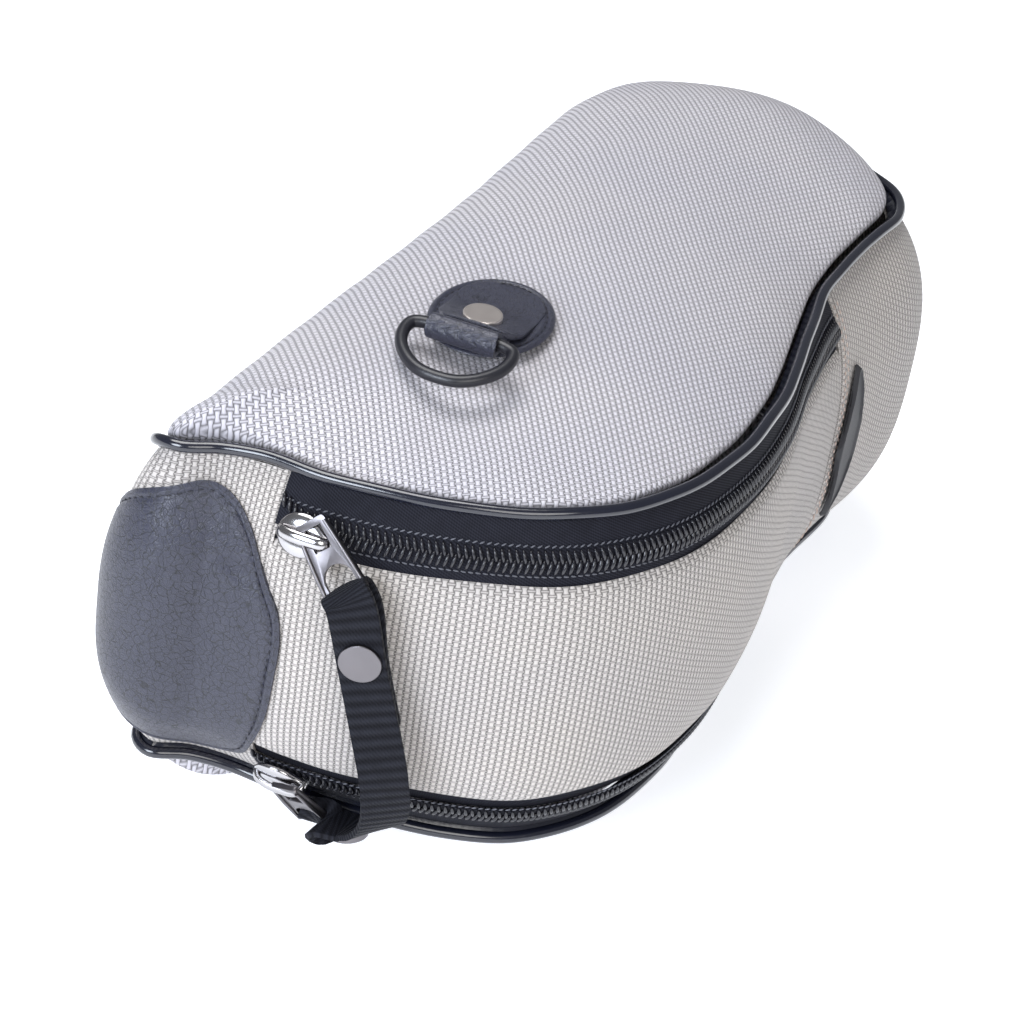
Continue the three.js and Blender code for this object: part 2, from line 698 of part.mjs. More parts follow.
// Strap: a flat band from pull to pull that swings out, turns over and comes back.
function strap_frames() {
  const places = STRAP_ROUTE.map((row) => {
    const at = SLIDER_AT + (row.beyond * STRAP_REACH) / SEAM_ROUND;
    return gusset_point(at, row.height * STRAP_REACH, row.out * STRAP_REACH);
  });
  const run = new THREE.CatmullRomCurve3(places, false, 'centripetal');
  const steps = 30;
  const frames = [];
  for (let step = 0; step <= steps; step += 1) {
    const share = step / steps;
    const centre = run.getPoint(share);
    const tangent = run.getTangent(share);
    const spot = share * (STRAP_ROUTE.length - 1);
    const row = Math.min(STRAP_ROUTE.length - 2, Math.floor(spot));
    const part = spot - row;
    const beyond = STRAP_ROUTE[row].beyond * (1 - part) + STRAP_ROUTE[row + 1].beyond * part;
    const turn = STRAP_ROUTE[row].turn * (1 - part) + STRAP_ROUTE[row + 1].turn * part;
    const out = seam_at(SLIDER_AT + (beyond * STRAP_REACH) / SEAM_ROUND).out;
    const wide = new THREE.Vector3().crossVectors(tangent, out).normalize();
    wide.applyAxisAngle(tangent, THREE.MathUtils.degToRad(turn));
    const thick = new THREE.Vector3().crossVectors(wide, tangent).normalize();
    frames.push({ centre, tangent, wide, thick });
  }
  return frames;
}

function strap() {
  const half = STRAP_WIDTH / 2;
  const thin = STRAP_THICK / 2;
  const section = [[-half, -thin], [half, -thin], [half, thin], [-half, thin]];
  const frames = strap_frames().map(({ centre, wide, thick }) => (across, up) => (
    centre.clone().addScaledVector(wide, across).addScaledVector(thick, up)));
  add('webbing_strap', swept(frames, section, false), black_tape);
}

function cap_geometry(radius, thickness) {
  const points = [new THREE.Vector2(0, 0), new THREE.Vector2(radius * 0.96, 0),
    new THREE.Vector2(radius, thickness * 0.3), new THREE.Vector2(radius * 0.93, thickness * 0.7),
    new THREE.Vector2(radius * 0.6, thickness * 0.95), new THREE.Vector2(0, thickness)];
  const cap = new THREE.LatheGeometry(points, 12);
  cap.rotateX(Math.PI / 2);
  return cap;
}

function strap_cap(name, step) {
  const { centre, wide, thick } = strap_frames()[step];
  const facing = thick.clone();
  const matrix = new THREE.Matrix4().makeBasis(wide, new THREE.Vector3().crossVectors(facing, wide), facing);
  matrix.setPosition(centre.clone().addScaledVector(facing, STRAP_THICK / 2 + GAP));
  const cap = cap_geometry(CAP_RADIUS, CAP_THICK);
  cap.applyMatrix4(matrix);
  add(name, cap, satin_nickel);
}

// A shape drawn on the gusset as a plate of even thickness: each row of its table gives the
// upper and lower edge at a place along the seam, all as shares of 'reach'
function patch_on_gusset(table, middle_at, reach, lift, thickness) {
  const places = table.map((row) => row.along);
  const edges = table.flatMap((row) => [row.high, row.low]);
  const outline = new THREE.CubicInterpolant(places, edges, 2);
  const first = places[0];
  const last = places[places.length - 1];
  const to_turn = (along) => middle_at + (along * reach) / SEAM_ROUND;
  const to_along = (at) => ((at - middle_at) * SEAM_ROUND) / reach;
  const stations = stations_between(to_turn(first), to_turn(last), 2);
  return plate(stations.length - 1, 6, (u, v, side) => {
    const at = stations[Math.round(u * (stations.length - 1))];
    const along = Math.min(last, Math.max(first, to_along(at)));
    const [high, low] = [...outline.evaluate(along)].map((share) => share * reach);
    return gusset_point(at, low + (high - low) * v, side ? lift : lift + thickness);
  });
}

// Leather patch: a shield with a rounded top and a chamfered foot
function leather_patch() {
  const solid = patch_on_gusset(PATCH_OUTLINE, PATCH_MIDDLE, PATCH_HEIGHT / 2, PATCH_LIFT, PATCH_THICK);
  add('leather_end_patch', solid, black_leather);
}

// Blank oval patch with pointed ends on the front, below the lid
function oval_patch() {
  const table = [];
  const columns = 8;
  for (let k = 0; k <= columns; k += 1) {
    const share = (2 * k) / columns - 1;
    const high = Math.max(0.16, 1 - Math.abs(share) ** 1.6);
    table.push({ along: (share * OVAL_WIDTH) / OVAL_LENGTH, high, low: -high });
  }
  add('oval_patch', patch_on_gusset(table, OVAL_AT, OVAL_LENGTH / 2, PATCH_LIFT, OVAL_THICK), black_rubber);
}

// Belt loop on the back: a strip that stands off the gusset between its two sewn ends
function belt_loop() {
  const span = LOOP_LENGTH / SEAM_ROUND;
  const from = LOOP_AT - span / 2;
  const sewn = 0.1;
  const solid = plate(16, 2, (u, v, side) => {
    const near_end = Math.min(u, 1 - u) / sewn;
    const lift = GAP + (LOOP_ROOM - GAP) * smooth_step(near_end - 1);
    const thick = side ? 0 : LOOP_THICK;
    return gusset_point(from + span * u, (v - 0.5) * LOOP_WIDTH, lift + thick);
  });
  add('belt_loop', solid, black_leather);
}

// Shoulder strap tab: a sewn leather oval, a folded strip with a rivet cap, and the ring
function tab_frame(side) {
  const level = seat_height(side) + 0.2 + GAP;
  const frame = new THREE.Matrix4().makeTranslation(TAB_X, TAB_Y, side * level);
  frame.multiply(new THREE.Matrix4().makeRotationZ(THREE.MathUtils.degToRad(TAB_TURN)));
  if (side < 0) frame.multiply(new THREE.Matrix4().makeRotationX(Math.PI));
  return frame;
}

const bar_x = -STRIP_REACH;
const bore = RING_WIRE + GAP;
const bar_height = TAB_THICK + GAP + bore + STRIP_THICK;

function tab_base(name, side) {
  const outline = new THREE.Shape();
  outline.absellipse(0, 0, TAB_LENGTH / 2, TAB_WIDTH / 2, 0, 2 * Math.PI, false);
  const solid = new THREE.ExtrudeGeometry(outline, {
    depth: TAB_THICK, bevelEnabled: false, curveSegments: 16,
  });
  solid.applyMatrix4(tab_frame(side));
  add('ring_tab_' + name, solid, black_leather);
}

function tab_strip(name, side) {
  const low = TAB_THICK + GAP;
  const eye = bore + STRIP_THICK;
  const stack = low + STRIP_THICK * 2;
  const rear = RIVET_RADIUS + 1.5 - RIVET_OFFSET;
  const profile = new THREE.Shape();
  profile.moveTo(rear, low);
  profile.lineTo(rear, stack);
  profile.lineTo(bar_x + eye * 1.5, stack);
  profile.quadraticCurveTo(bar_x + eye, bar_height + eye, bar_x, bar_height + eye);
  profile.absarc(bar_x, bar_height, eye, Math.PI / 2, 1.5 * Math.PI, false);
  profile.closePath();
  const hole = new THREE.Path();
  hole.absarc(bar_x, bar_height, bore, 0, 2 * Math.PI, true);
  profile.holes.push(hole);
  const solid = new THREE.ExtrudeGeometry(profile, {
    depth: STRIP_WIDTH, bevelEnabled: false, curveSegments: 6,
  });
  solid.rotateX(Math.PI / 2);
  solid.translate(0, STRIP_WIDTH / 2, 0);
  solid.applyMatrix4(tab_frame(side));
  add('ring_strip_' + name, solid, black_leather);
  const cap = cap_geometry(RIVET_RADIUS, RIVET_THICK);
  cap.translate(-RIVET_OFFSET, 0, stack + GAP);
  cap.applyMatrix4(tab_frame(side));
  add('rivet_' + name, cap, satin_nickel);
}

// Ring: a straight bar in the strip's eye and a round bow, bent from one wire
function d_ring(name, side) {
  const half = RING_WIDTH / 2 - RING_WIRE;
  const reach = RING_DEPTH - 2 * RING_WIRE;
  const places = [];
  const bar_steps = 2;
  for (let k = 0; k <= bar_steps; k += 1) places.push([0, -half + (2 * half * k) / bar_steps]);
  const bow_steps = 13;
  for (let k = 1; k < bow_steps; k += 1) {
    const angle = (Math.PI * k) / bow_steps;
    const fullness = Math.sin(angle) ** 0.72;
    places.push([-reach * fullness, half * Math.cos(angle)]);
  }
  const count = places.length;
  const frames = places.map(([x, y], k) => {
    const [x1, y1] = places[(k + 1) % count];
    const [x0, y0] = places[(k + count - 1) % count];
    const tangent = new THREE.Vector2(x1 - x0, y1 - y0).normalize();
    const normal = new THREE.Vector2(-tangent.y, tangent.x);
    return (across, up) => new THREE.Vector3(
      bar_x + x + normal.x * across,
      y + normal.y * across,
      bar_height + up,
    );
  });
  const solid = swept(frames, round_section(RING_WIRE, 7), true);
  solid.translate(-bar_x, 0, -bar_height);
  solid.rotateY(THREE.MathUtils.degToRad(-RING_TILT));
  solid.translate(bar_x, 0, bar_height);
  solid.applyMatrix4(tab_frame(side));
  add('d_ring_' + name, solid, black_paint);
}

add('side_panel_upper', side_panel(1), beige);
add('side_panel_lower', side_panel(-1), beige);
add('piping_upper', piping(1), black_trim);
add('piping_lower', piping(-1), black_trim);
gusset_pieces();
for (const [name, side] of [['upper', 1], ['lower', -1]]) {
  zipper(name, side);
  slider(name, side);
  pull(name, side);
  tab_base(name, side);
  tab_strip(name, side);
  d_ring(name, side);
}
strap();
strap_cap('strap_cap_upper', UPPER_CAP_STEP);
strap_cap('strap_cap_lower', LOWER_CAP_STEP);
leather_patch();
oval_patch();
belt_loop();

// The origin is the middle of the underside of the whole pouch
const box = new THREE.Box3().setFromObject(pouch);
pouch.position.set(-(box.min.x + box.max.x) / 2, -(box.min.y + box.max.y) / 2, -box.min.z);

export default pouch;
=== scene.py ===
# %% [markdown]
# # A padded lens pouch
# The pouch lies on its side: two domed panels of woven nylon, a gusset all round between them,
# black piping on both seams, two coil zips that frame a lid strip, a leather patch on the top
# end and a webbing strap between the two zip pulls. The CAD model fixes every place and size.
# This lesson dresses it: the panels are rounded copies of their solids, the other soft parts
# are laid out again as smooth sheets on the same surfaces, and all get thread, weave, grain
# and gloss.

# %% Tools and the frame
import math

import bpy
import numpy as np
from mathutils.bvhtree import BVHTree
from mathutils import Matrix, Vector


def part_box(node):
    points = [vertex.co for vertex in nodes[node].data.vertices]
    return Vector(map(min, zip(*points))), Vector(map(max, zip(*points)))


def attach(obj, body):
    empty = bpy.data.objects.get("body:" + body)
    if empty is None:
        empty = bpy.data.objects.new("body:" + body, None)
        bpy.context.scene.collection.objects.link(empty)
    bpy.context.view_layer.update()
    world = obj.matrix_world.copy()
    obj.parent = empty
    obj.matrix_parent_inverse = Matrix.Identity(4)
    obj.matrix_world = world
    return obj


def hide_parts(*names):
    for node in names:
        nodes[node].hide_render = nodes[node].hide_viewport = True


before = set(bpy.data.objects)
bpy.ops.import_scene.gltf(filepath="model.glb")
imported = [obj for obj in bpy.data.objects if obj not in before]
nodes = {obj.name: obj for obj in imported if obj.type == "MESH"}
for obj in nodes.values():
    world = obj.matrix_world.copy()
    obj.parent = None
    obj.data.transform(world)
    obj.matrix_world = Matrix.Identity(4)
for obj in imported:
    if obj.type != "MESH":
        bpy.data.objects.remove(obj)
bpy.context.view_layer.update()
MM = 0.001
BODY = "pouch"
SIDES = (("upper", 1), ("lower", -1))

# %% [markdown]
# ## Where things are
# All sizes below are in millimetres from the pouch's middle plane, as in the CAD source. The
# tab of the upper ring tells where that middle lies in the frame, so that the pieces follow
# the CAD model when it is packed again.

# %% The middle of the pouch in the frame
TAB_X, TAB_Y = -14, 6.5
TAB_LEVEL = 53.05
tab_low, tab_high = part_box("ring_tab_upper")
tab_middle = (tab_low + tab_high) / 2
middle = np.array([tab_middle.x - TAB_X * MM, tab_middle.y - TAB_Y * MM, tab_low.z - TAB_LEVEL * MM])


def to_frame(points):
    """Millimetres from the pouch's middle to metres in the frame."""
    return np.asarray(points, float) * MM + middle


def in_scene(name, data):
    """A new object that shows this data in the scene."""
    made = bpy.data.objects.new(name, data)
    bpy.context.scene.collection.objects.link(made)
    return made


print("middle of the pouch at", [round(float(value), 4) for value in middle])

# %% [markdown]
# ## The camera
# The photograph was taken from the top end, from the front and a little above, with a long
# lens. The camera stands there and has no depth of field, so that other views stay sharp.

# %% Camera
CAMERA_PLACE = (-524.554, -190.922, 362.512)
CAMERA_RIGHT = Vector((0.42181, -0.89607, 0.13842))
CAMERA_UP = Vector((0.44833, 0.33883, 0.82717))
camera_back = CAMERA_RIGHT.cross(CAMERA_UP).normalized()
camera_data = bpy.data.cameras.new("camera")
camera_data.lens = 105.47
camera_data.sensor_width = 36
camera = in_scene("camera", camera_data)
turn = Matrix((CAMERA_RIGHT, CAMERA_UP, camera_back)).transposed().to_4x4()
camera.matrix_world = Matrix.Translation(Vector(to_frame(CAMERA_PLACE))) @ turn
bpy.context.scene.camera = camera
print("camera at", [round(value, 3) for value in camera.matrix_world.translation])

# %% [markdown]
# ## The seam and the gusset
# Everything on the gusset is placed by how far round the seam it is and how high above the
# middle plane. The seam is one smooth closed line, and three short tables say how the gusset
# swells out of it, how the seams sink, and how the lower one is tucked in by the weight. The
# numbers are the CAD source's own, because a cloth that is laid on the same surface as its
# solid needs no fitting. The outward direction is taken over a short way to both sides, so
# that no sheet on the gusset gets a kink.

# %% Tables of the seam
LENGTH, WIDTH, SEAM_HALF, FIRST_X = 231, 101, 42.5, -80
BULGE, SEAM_SINK, TUCK, EDGE_INSET = 12, 12, 7, 1.35
EDGE_HEIGHT = SEAM_HALF - EDGE_INSET
SEAM_OUTLINE = np.array([
    (0.002, 0.425), (0.020, 0.350), (0.028, 0.270), (0.030, 0.135), (0.043, -0.025),
    (0.074, -0.205), (0.117, -0.345), (0.194, -0.460), (0.300, -0.510), (0.408, -0.503),
    (0.524, -0.455), (0.630, -0.412), (0.735, -0.412), (0.830, -0.425), (0.890, -0.376),
    (0.934, -0.246), (0.978, -0.050), (0.986, 0.150), (0.950, 0.325), (0.855, 0.420),
    (0.710, 0.435), (0.520, 0.440), (0.305, 0.460), (0.130, 0.485), (0.055, 0.490),
    (0.012, 0.474),
])
SWELL = {
    "at": (0, 0.06, 0.12, 0.20, 0.30, 0.375, 0.45, 0.52, 0.60, 0.70, 0.90, 1),
    "swell": (0.65, 0.70, 0.58, 0.50, 0.50, 0.85, 1.05, 1, 0.75, 0.45, 0.45, 0.65),
}
SEAM_SHAPE = {
    "at": (0, 0.05, 0.15, 0.30, 0.42, 0.50, 0.60, 0.88, 0.965, 1),
    "sink": (0.10, 0, 0, 0, 0, 0.25, 0.60, 0.75, 1, 0.10),
    "sink_low": (0.60, 0.35, 0, 0, 0, 0.25, 0.35, 0.45, 0.90, 0.60),
    "tuck": (0.20, 0.60, 0.65, 0.75, 0.15, 0, 0, 0, 0.20, 0.20),
}
ZIP_START, WAIST, BOTTOM_SPLIT, BACK_SPLIT = 0.041, 0.366, 0.585, 0.962
CHAIN_HEIGHT = 33.5


# %% The seam as a smooth closed line
def smooth_step(share):
    held = np.clip(share, 0, 1)
    return held * held * (3 - 2 * held)


def bell(away, width):
    return np.exp(-(away / width) ** 2)


def unit(vectors):
    return vectors / np.linalg.norm(vectors, axis=-1, keepdims=True)


def read_line(line, at, marks=None):
    """Points of a line at shares of its count, or at the marks where its points stand."""
    marks = np.linspace(0, 1, len(line)) if marks is None else marks
    return np.stack([np.interp(at, marks, column) for column in line.T], -1)


def read_table(table, at, column):
    places = np.array(table["at"])
    values = np.array(table[column])
    turned = np.mod(at, 1.0)
    row = np.clip(np.searchsorted(places, turned, side="left"), 1, len(places) - 1)
    share = (turned - places[row - 1]) / (places[row] - places[row - 1])
    return values[row - 1] + (values[row] - values[row - 1]) * smooth_step(share)


def smooth_line(points, closed, steps):
    """A centripetal curve through the points, as dense points in even steps of its parameter."""
    points = np.asarray(points, float)
    count = len(points)
    runs = count if closed else count - 1
    if closed:
        before, after = points[-1:], points[:2]
    else:
        before, after = 2 * points[:1] - points[1:2], 2 * points[-1:] - points[-2:-1]
    held = np.vstack([before, points, after])
    line = []
    for run in range(runs):
        p0, p1, p2, p3 = held[run:run + 4]
        d0, d1, d2 = (max(np.linalg.norm(b - a), 1e-9) ** 0.5 for a, b in ((p0, p1), (p1, p2), (p2, p3)))
        t1 = ((p1 - p0) / d0 - (p2 - p0) / (d0 + d1) + (p2 - p1) / d1) * d1
        t2 = ((p2 - p1) / d1 - (p3 - p1) / (d1 + d2) + (p3 - p2) / d2) * d1
        t = (np.arange(steps) / steps)[:, None]
        line.append(p1 + t1 * t + (3 * (p2 - p1) - 2 * t1 - t2) * t ** 2
                    + (2 * (p1 - p2) + t1 + t2) * t ** 3)
    if not closed:
        line.append(points[-1:])
    return np.vstack(line)


seam_line = smooth_line(SEAM_OUTLINE * (LENGTH, WIDTH) + (FIRST_X, 0), True, 90)
seam_steps = np.linalg.norm(np.roll(seam_line, -1, 0) - seam_line, axis=1)
seam_reached = np.concatenate([[0], np.cumsum(seam_steps)])
SEAM_ROUND = seam_reached[-1]
seam_closed = np.vstack([seam_line, seam_line[:1]])
print("the seam is", round(float(SEAM_ROUND), 1), "mm round")


# %% Places on the seam and on the gusset
EVEN_REACH = 0.008


def seam_at(at):
    """Point and outward direction of the seam at shares of the way round."""
    def point(share):
        return read_line(seam_closed, np.mod(share, 1.0) * SEAM_ROUND, seam_reached)
    at = np.asarray(at, float)
    along = unit(point(at + EVEN_REACH) - point(at - EVEN_REACH))
    return point(at), np.stack([along[..., 1], -along[..., 0]], -1)


def seam_half(at, below):
    sink = np.where(below, read_table(SEAM_SHAPE, at, "sink_low"), read_table(SEAM_SHAPE, at, "sink"))
    return SEAM_HALF - SEAM_SINK * sink


def gusset_point(at, height, out):
    """A point 'out' from the gusset's face, in millimetres from the pouch's middle."""
    at, height, out = np.broadcast_arrays(np.asarray(at, float), height, out)
    point, outward = seam_at(at)
    share = np.minimum(1, np.abs(height) / EDGE_HEIGHT)
    level = height - np.sign(height) * (SEAM_HALF - seam_half(at, height < 0)) * share
    tucked = np.where(height < 0, TUCK * read_table(SEAM_SHAPE, at, "tuck") * share ** 3, 0)
    reach = BULGE * read_table(SWELL, at, "swell") * (1 - share ** 3) - tucked + out
    return np.concatenate([point + outward * reach[..., None], level[..., None]], -1)


def gusset_axes(at, height, out=0.0):
    """Centre and axes along the seam, up and outward, for hard pieces and stitches."""
    at = np.asarray(at)
    up = unit(gusset_point(at, height + 0.5, out) - gusset_point(at, height - 0.5, out))
    along = unit(gusset_point(at + 4e-4, height, out) - gusset_point(at - 4e-4, height, out))
    facing = unit(np.cross(along, up))
    return gusset_point(at, height, out), along, np.cross(facing, along), facing


# %% [markdown]
# ## Making pieces
# The same few moves make every piece: select nothing else, lay a grid on a surface, give it a
# wall, round an edge, copy one stitch along a line. Each helper does one of them and applies
# its modifiers, so that a finished piece is a plain mesh at the origin.

# %% Helpers for shapes
def only(piece):
    bpy.ops.object.select_all(action="DESELECT")
    piece.select_set(True)
    bpy.context.view_layer.objects.active = piece


def added(operator, **settings):
    """The piece that one of Blender's primitives makes."""
    bpy.ops.object.select_all(action="DESELECT")
    operator(**settings)
    return bpy.context.object


def apply_modifier(piece, kind, **settings):
    only(piece)
    modifier = piece.modifiers.new(kind.lower(), kind)
    for name, value in settings.items():
        setattr(modifier, name, value)
    bpy.ops.object.modifier_apply(modifier=modifier.name)


def smooth_shading(piece, degrees=None):
    only(piece)
    if degrees is None:
        bpy.ops.object.shade_smooth()
    else:
        bpy.ops.object.shade_smooth_by_angle(angle=math.radians(degrees))


def vertex_places(piece):
    flat = np.empty(len(piece.data.vertices) * 3)
    piece.data.vertices.foreach_get("co", flat)
    return flat.reshape(-1, 3)


def move_vertices(piece, places):
    piece.data.vertices.foreach_set("co", np.asarray(places, float).ravel())
    piece.data.update()


def set_cloth_map(piece, across, along):
    """Writes the weave's own coordinates, in millimetres, as the piece's UV map."""
    layers = piece.data.uv_layers
    while layers:
        layers.remove(layers[0])
    layer = layers.new(name="cloth")
    corners = np.empty(len(piece.data.loops), int)
    piece.data.loops.foreach_get("vertex_index", corners)
    layer.data.foreach_set("uv", np.stack([across[corners], along[corners]], -1).ravel())


def laid_grid(name, columns, rows, place):
    """A grid primitive whose points are moved by place(u, v), with u and v from 0 to 1."""
    piece = added(bpy.ops.mesh.primitive_grid_add, x_subdivisions=columns, y_subdivisions=rows, size=2)
    piece.name = name
    flat = vertex_places(piece)
    points, across, along = place((flat[:, 0] + 1) / 2, (flat[:, 1] + 1) / 2)
    set_cloth_map(piece, across, along)
    move_vertices(piece, to_frame(points))
    return piece


def walled(piece, wall, offset=-1, rounded=0, shading=50):
    """Gives a sheet its wall in millimetres, softens its edges and shades it smooth."""
    apply_modifier(piece, "SOLIDIFY", thickness=wall * MM, offset=offset)
    if rounded:
        apply_modifier(piece, "BEVEL", width=rounded * MM, segments=2, limit_method="ANGLE", angle_limit=1.0)
    smooth_shading(piece, shading)


def close_seams(piece, outward):
    """Joins the edges of a grid that meet, and turns its faces to the outward direction."""
    only(piece)
    bpy.ops.object.mode_set(mode="EDIT")
    bpy.ops.mesh.select_all(action="SELECT")
    bpy.ops.mesh.remove_doubles(threshold=5e-6)
    bpy.ops.mesh.normals_make_consistent(inside=False)
    bpy.ops.object.mode_set(mode="OBJECT")
    facing = np.array([polygon.normal[:] for polygon in piece.data.polygons]).mean(0)
    if np.dot(facing, outward) < 0:
        piece.data.flip_normals()


def tube(name, points, radius, closed=False, sides=3, local=False):
    """A round cord through points in millimetres, in the pouch's or in its own axes."""
    data = bpy.data.curves.new(name, "CURVE")
    data.dimensions = "3D"
    data.bevel_depth = radius * (1 if local else MM)
    data.bevel_resolution = sides
    data.use_fill_caps = True
    spline = data.splines.new("POLY")
    spline.points.add(len(points) - 1)
    places = np.asarray(points, float) if local else to_frame(points)
    spline.points.foreach_set("co", np.hstack([places, np.ones((len(places), 1))]).ravel())
    spline.use_cyclic_u = closed
    only(in_scene(name, data))
    bpy.ops.object.convert(target="MESH")
    smooth_shading(bpy.context.object, 50)
    return bpy.context.object


def copies(name, pattern, centres, x_axes, y_axes, z_axes):
    """One mesh of many copies of a small pattern, each on its own axes, in millimetres."""
    shape = vertex_places(pattern)
    faces = [tuple(polygon.vertices) for polygon in pattern.data.polygons]
    places = (np.asarray(centres)[:, None, :] + shape[None, :, 0:1] * x_axes[:, None, :]
              + shape[None, :, 1:2] * y_axes[:, None, :] + shape[None, :, 2:3] * z_axes[:, None, :])
    all_faces = [tuple(corner + k * len(shape) for corner in face)
                 for k in range(len(places)) for face in faces]
    mesh = bpy.data.meshes.new(name)
    mesh.from_pydata(to_frame(places.reshape(-1, 3)).tolist(), [], all_faces)
    piece = in_scene(name, mesh)
    smooth_shading(piece, 60)
    return piece


def settle(piece, centre, *axes):
    """Places a piece that was modelled in millimetres about its own middle."""
    move_vertices(piece, to_frame(vertex_places(piece) @ np.array(axes) + centre))


def joined(name, first, second):
    only(first)
    second.select_set(True)
    bpy.ops.object.join()
    first.name = name
    return first


def cad_copy(name, node):
    """A copy of a CAD node's mesh with its doubles merged and its triangles paired."""
    piece = in_scene(name, nodes[node].data.copy())
    piece.data.materials.clear()
    only(piece)
    bpy.ops.object.mode_set(mode="EDIT")
    bpy.ops.mesh.select_all(action="SELECT")
    bpy.ops.mesh.remove_doubles(threshold=2e-6)
    bpy.ops.mesh.tris_convert_to_quads(face_threshold=1.2, shape_threshold=1.4)
    bpy.ops.mesh.faces_shade_smooth()
    bpy.ops.object.mode_set(mode="OBJECT")
    bpy.ops.mesh.customdata_custom_splitnormals_clear()
    return piece


def finished(piece, finish, slot, *replaced, body=BODY):
    """Gives a piece its material and its body, and hides the solids it stands for. The slot is not used."""
    piece.data.materials.clear()
    piece.data.materials.append(finish)
    if replaced:
        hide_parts(*replaced)
    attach(piece, body)
    print(piece.name, "has", len(piece.data.polygons), "faces")


# %% [markdown]
# ## Shader maths
# A pattern such as a weave is arithmetic on the surface's own coordinates. The small class
# below wraps a socket so that the arithmetic can be written as plain Python, and one method
# makes any other node.

# %% Helpers for materials
class Wire:
    def __init__(self, finish, socket):
        self.finish = finish
        self.socket = socket

    def math(self, operation, *others):
        return self.finish.math(operation, self, *others)

    def __rsub__(self, other):
        return self.finish.math("SUBTRACT", other, self)


def maths_method(operation):
    """What a sign does between a wire and another term."""
    return lambda wire, other: wire.math(operation, other)


for sign, operation in (("add", "ADD"), ("radd", "ADD"), ("sub", "SUBTRACT"), ("mul", "MULTIPLY"),
                        ("rmul", "MULTIPLY"), ("truediv", "DIVIDE"), ("pow", "POWER")):
    setattr(Wire, f"__{sign}__", maths_method(operation))


class Finish:
    def __init__(self, name, **surface):
        self.material = bpy.data.materials.new(name)
        self.material.use_nodes = True
        self.tree = self.material.node_tree
        self.surface = self.tree.nodes["Principled BSDF"]
        for socket, value in surface.items():
            self.surface.inputs[socket.replace("_", " ")].default_value = value

    def node(self, kind, settings=None, values=None, output=0):
        made = self.tree.nodes.new(kind)
        for key, value in (settings or {}).items():
            setattr(made, key, value)
        for key, value in (values or {}).items():
            if isinstance(value, Wire):
                self.tree.links.new(value.socket, made.inputs[key])
            else:
                made.inputs[key].default_value = value
        return Wire(self, made.outputs[output])

    def math(self, operation, *terms):
        return self.node("ShaderNodeMath", {"operation": operation}, dict(enumerate(terms)))

    def between(self, value, low, high):
        """0 below low, 1 above high, and smooth between them."""
        return self.node("ShaderNodeMapRange", {"interpolation_type": "SMOOTHSTEP"},
                         {"Value": value, "From Min": low, "From Max": high})

    def mix(self, share, first, second, blend="MIX"):
        """Mixes two colours, each a wire or its red, green and blue."""
        settings = {"data_type": "RGBA", "blend_type": blend}
        first, second = (value if isinstance(value, Wire) else (*value, 1) for value in (first, second))
        return self.node("ShaderNodeMix", settings, {0: share, 6: first, 7: second}, output=2)

    def place(self, scale=(1, 1, 1)):
        """Object coordinates in millimetres, times a scale."""
        values = {"Vector": self.node("ShaderNodeTexCoord", output=3),
                  "Scale": tuple(1000 * value for value in scale)}
        return self.node("ShaderNodeMapping", None, values)

    def cloth_map(self):
        """The piece's own coordinates in millimetres, as two wires."""
        source = self.node("ShaderNodeTexCoord", output=2)
        split = self.node("ShaderNodeSeparateXYZ", None, {"Vector": source}).socket.node
        return Wire(self, split.outputs[0]), Wire(self, split.outputs[1])

    def noise(self, vector, scale, detail, output=0):
        values = {"Vector": vector, "Scale": scale, "Detail": detail}
        return self.node("ShaderNodeTexNoise", None, values, output)

    def link(self, socket, wire):
        self.tree.links.new(wire.socket, self.surface.inputs[socket])

    def bump(self, height, depth):
        """A bump of the given depth in millimetres."""
        self.link("Normal", self.node("ShaderNodeBump", None, {"Height": height, "Distance": depth * MM}))


def tinted(colour, factor):
    return tuple(value * factor for value in colour)


# %% [markdown]
# ## The woven nylon
# The cloth is a heavy oxford weave. Its yarns lie in ribs 1.3 mm apart, each rib is a row of
# bright pillows, and the pillows of neighbouring ribs are half a step apart, so that the dark
# gaps between them run in zigzags. The pattern is drawn from the cloth's own coordinates: a
# height for the pillows that raises the surface and paints light and shade into the colour,
# a painted highlight on the pillows and painted shade in the gaps. The panels look cooler
# than the gusset in the light, and the yarn has a slight sheen.

# %% Woven cloth
RIB_PITCH = 1.27
PILLOW_PITCH = 1.52


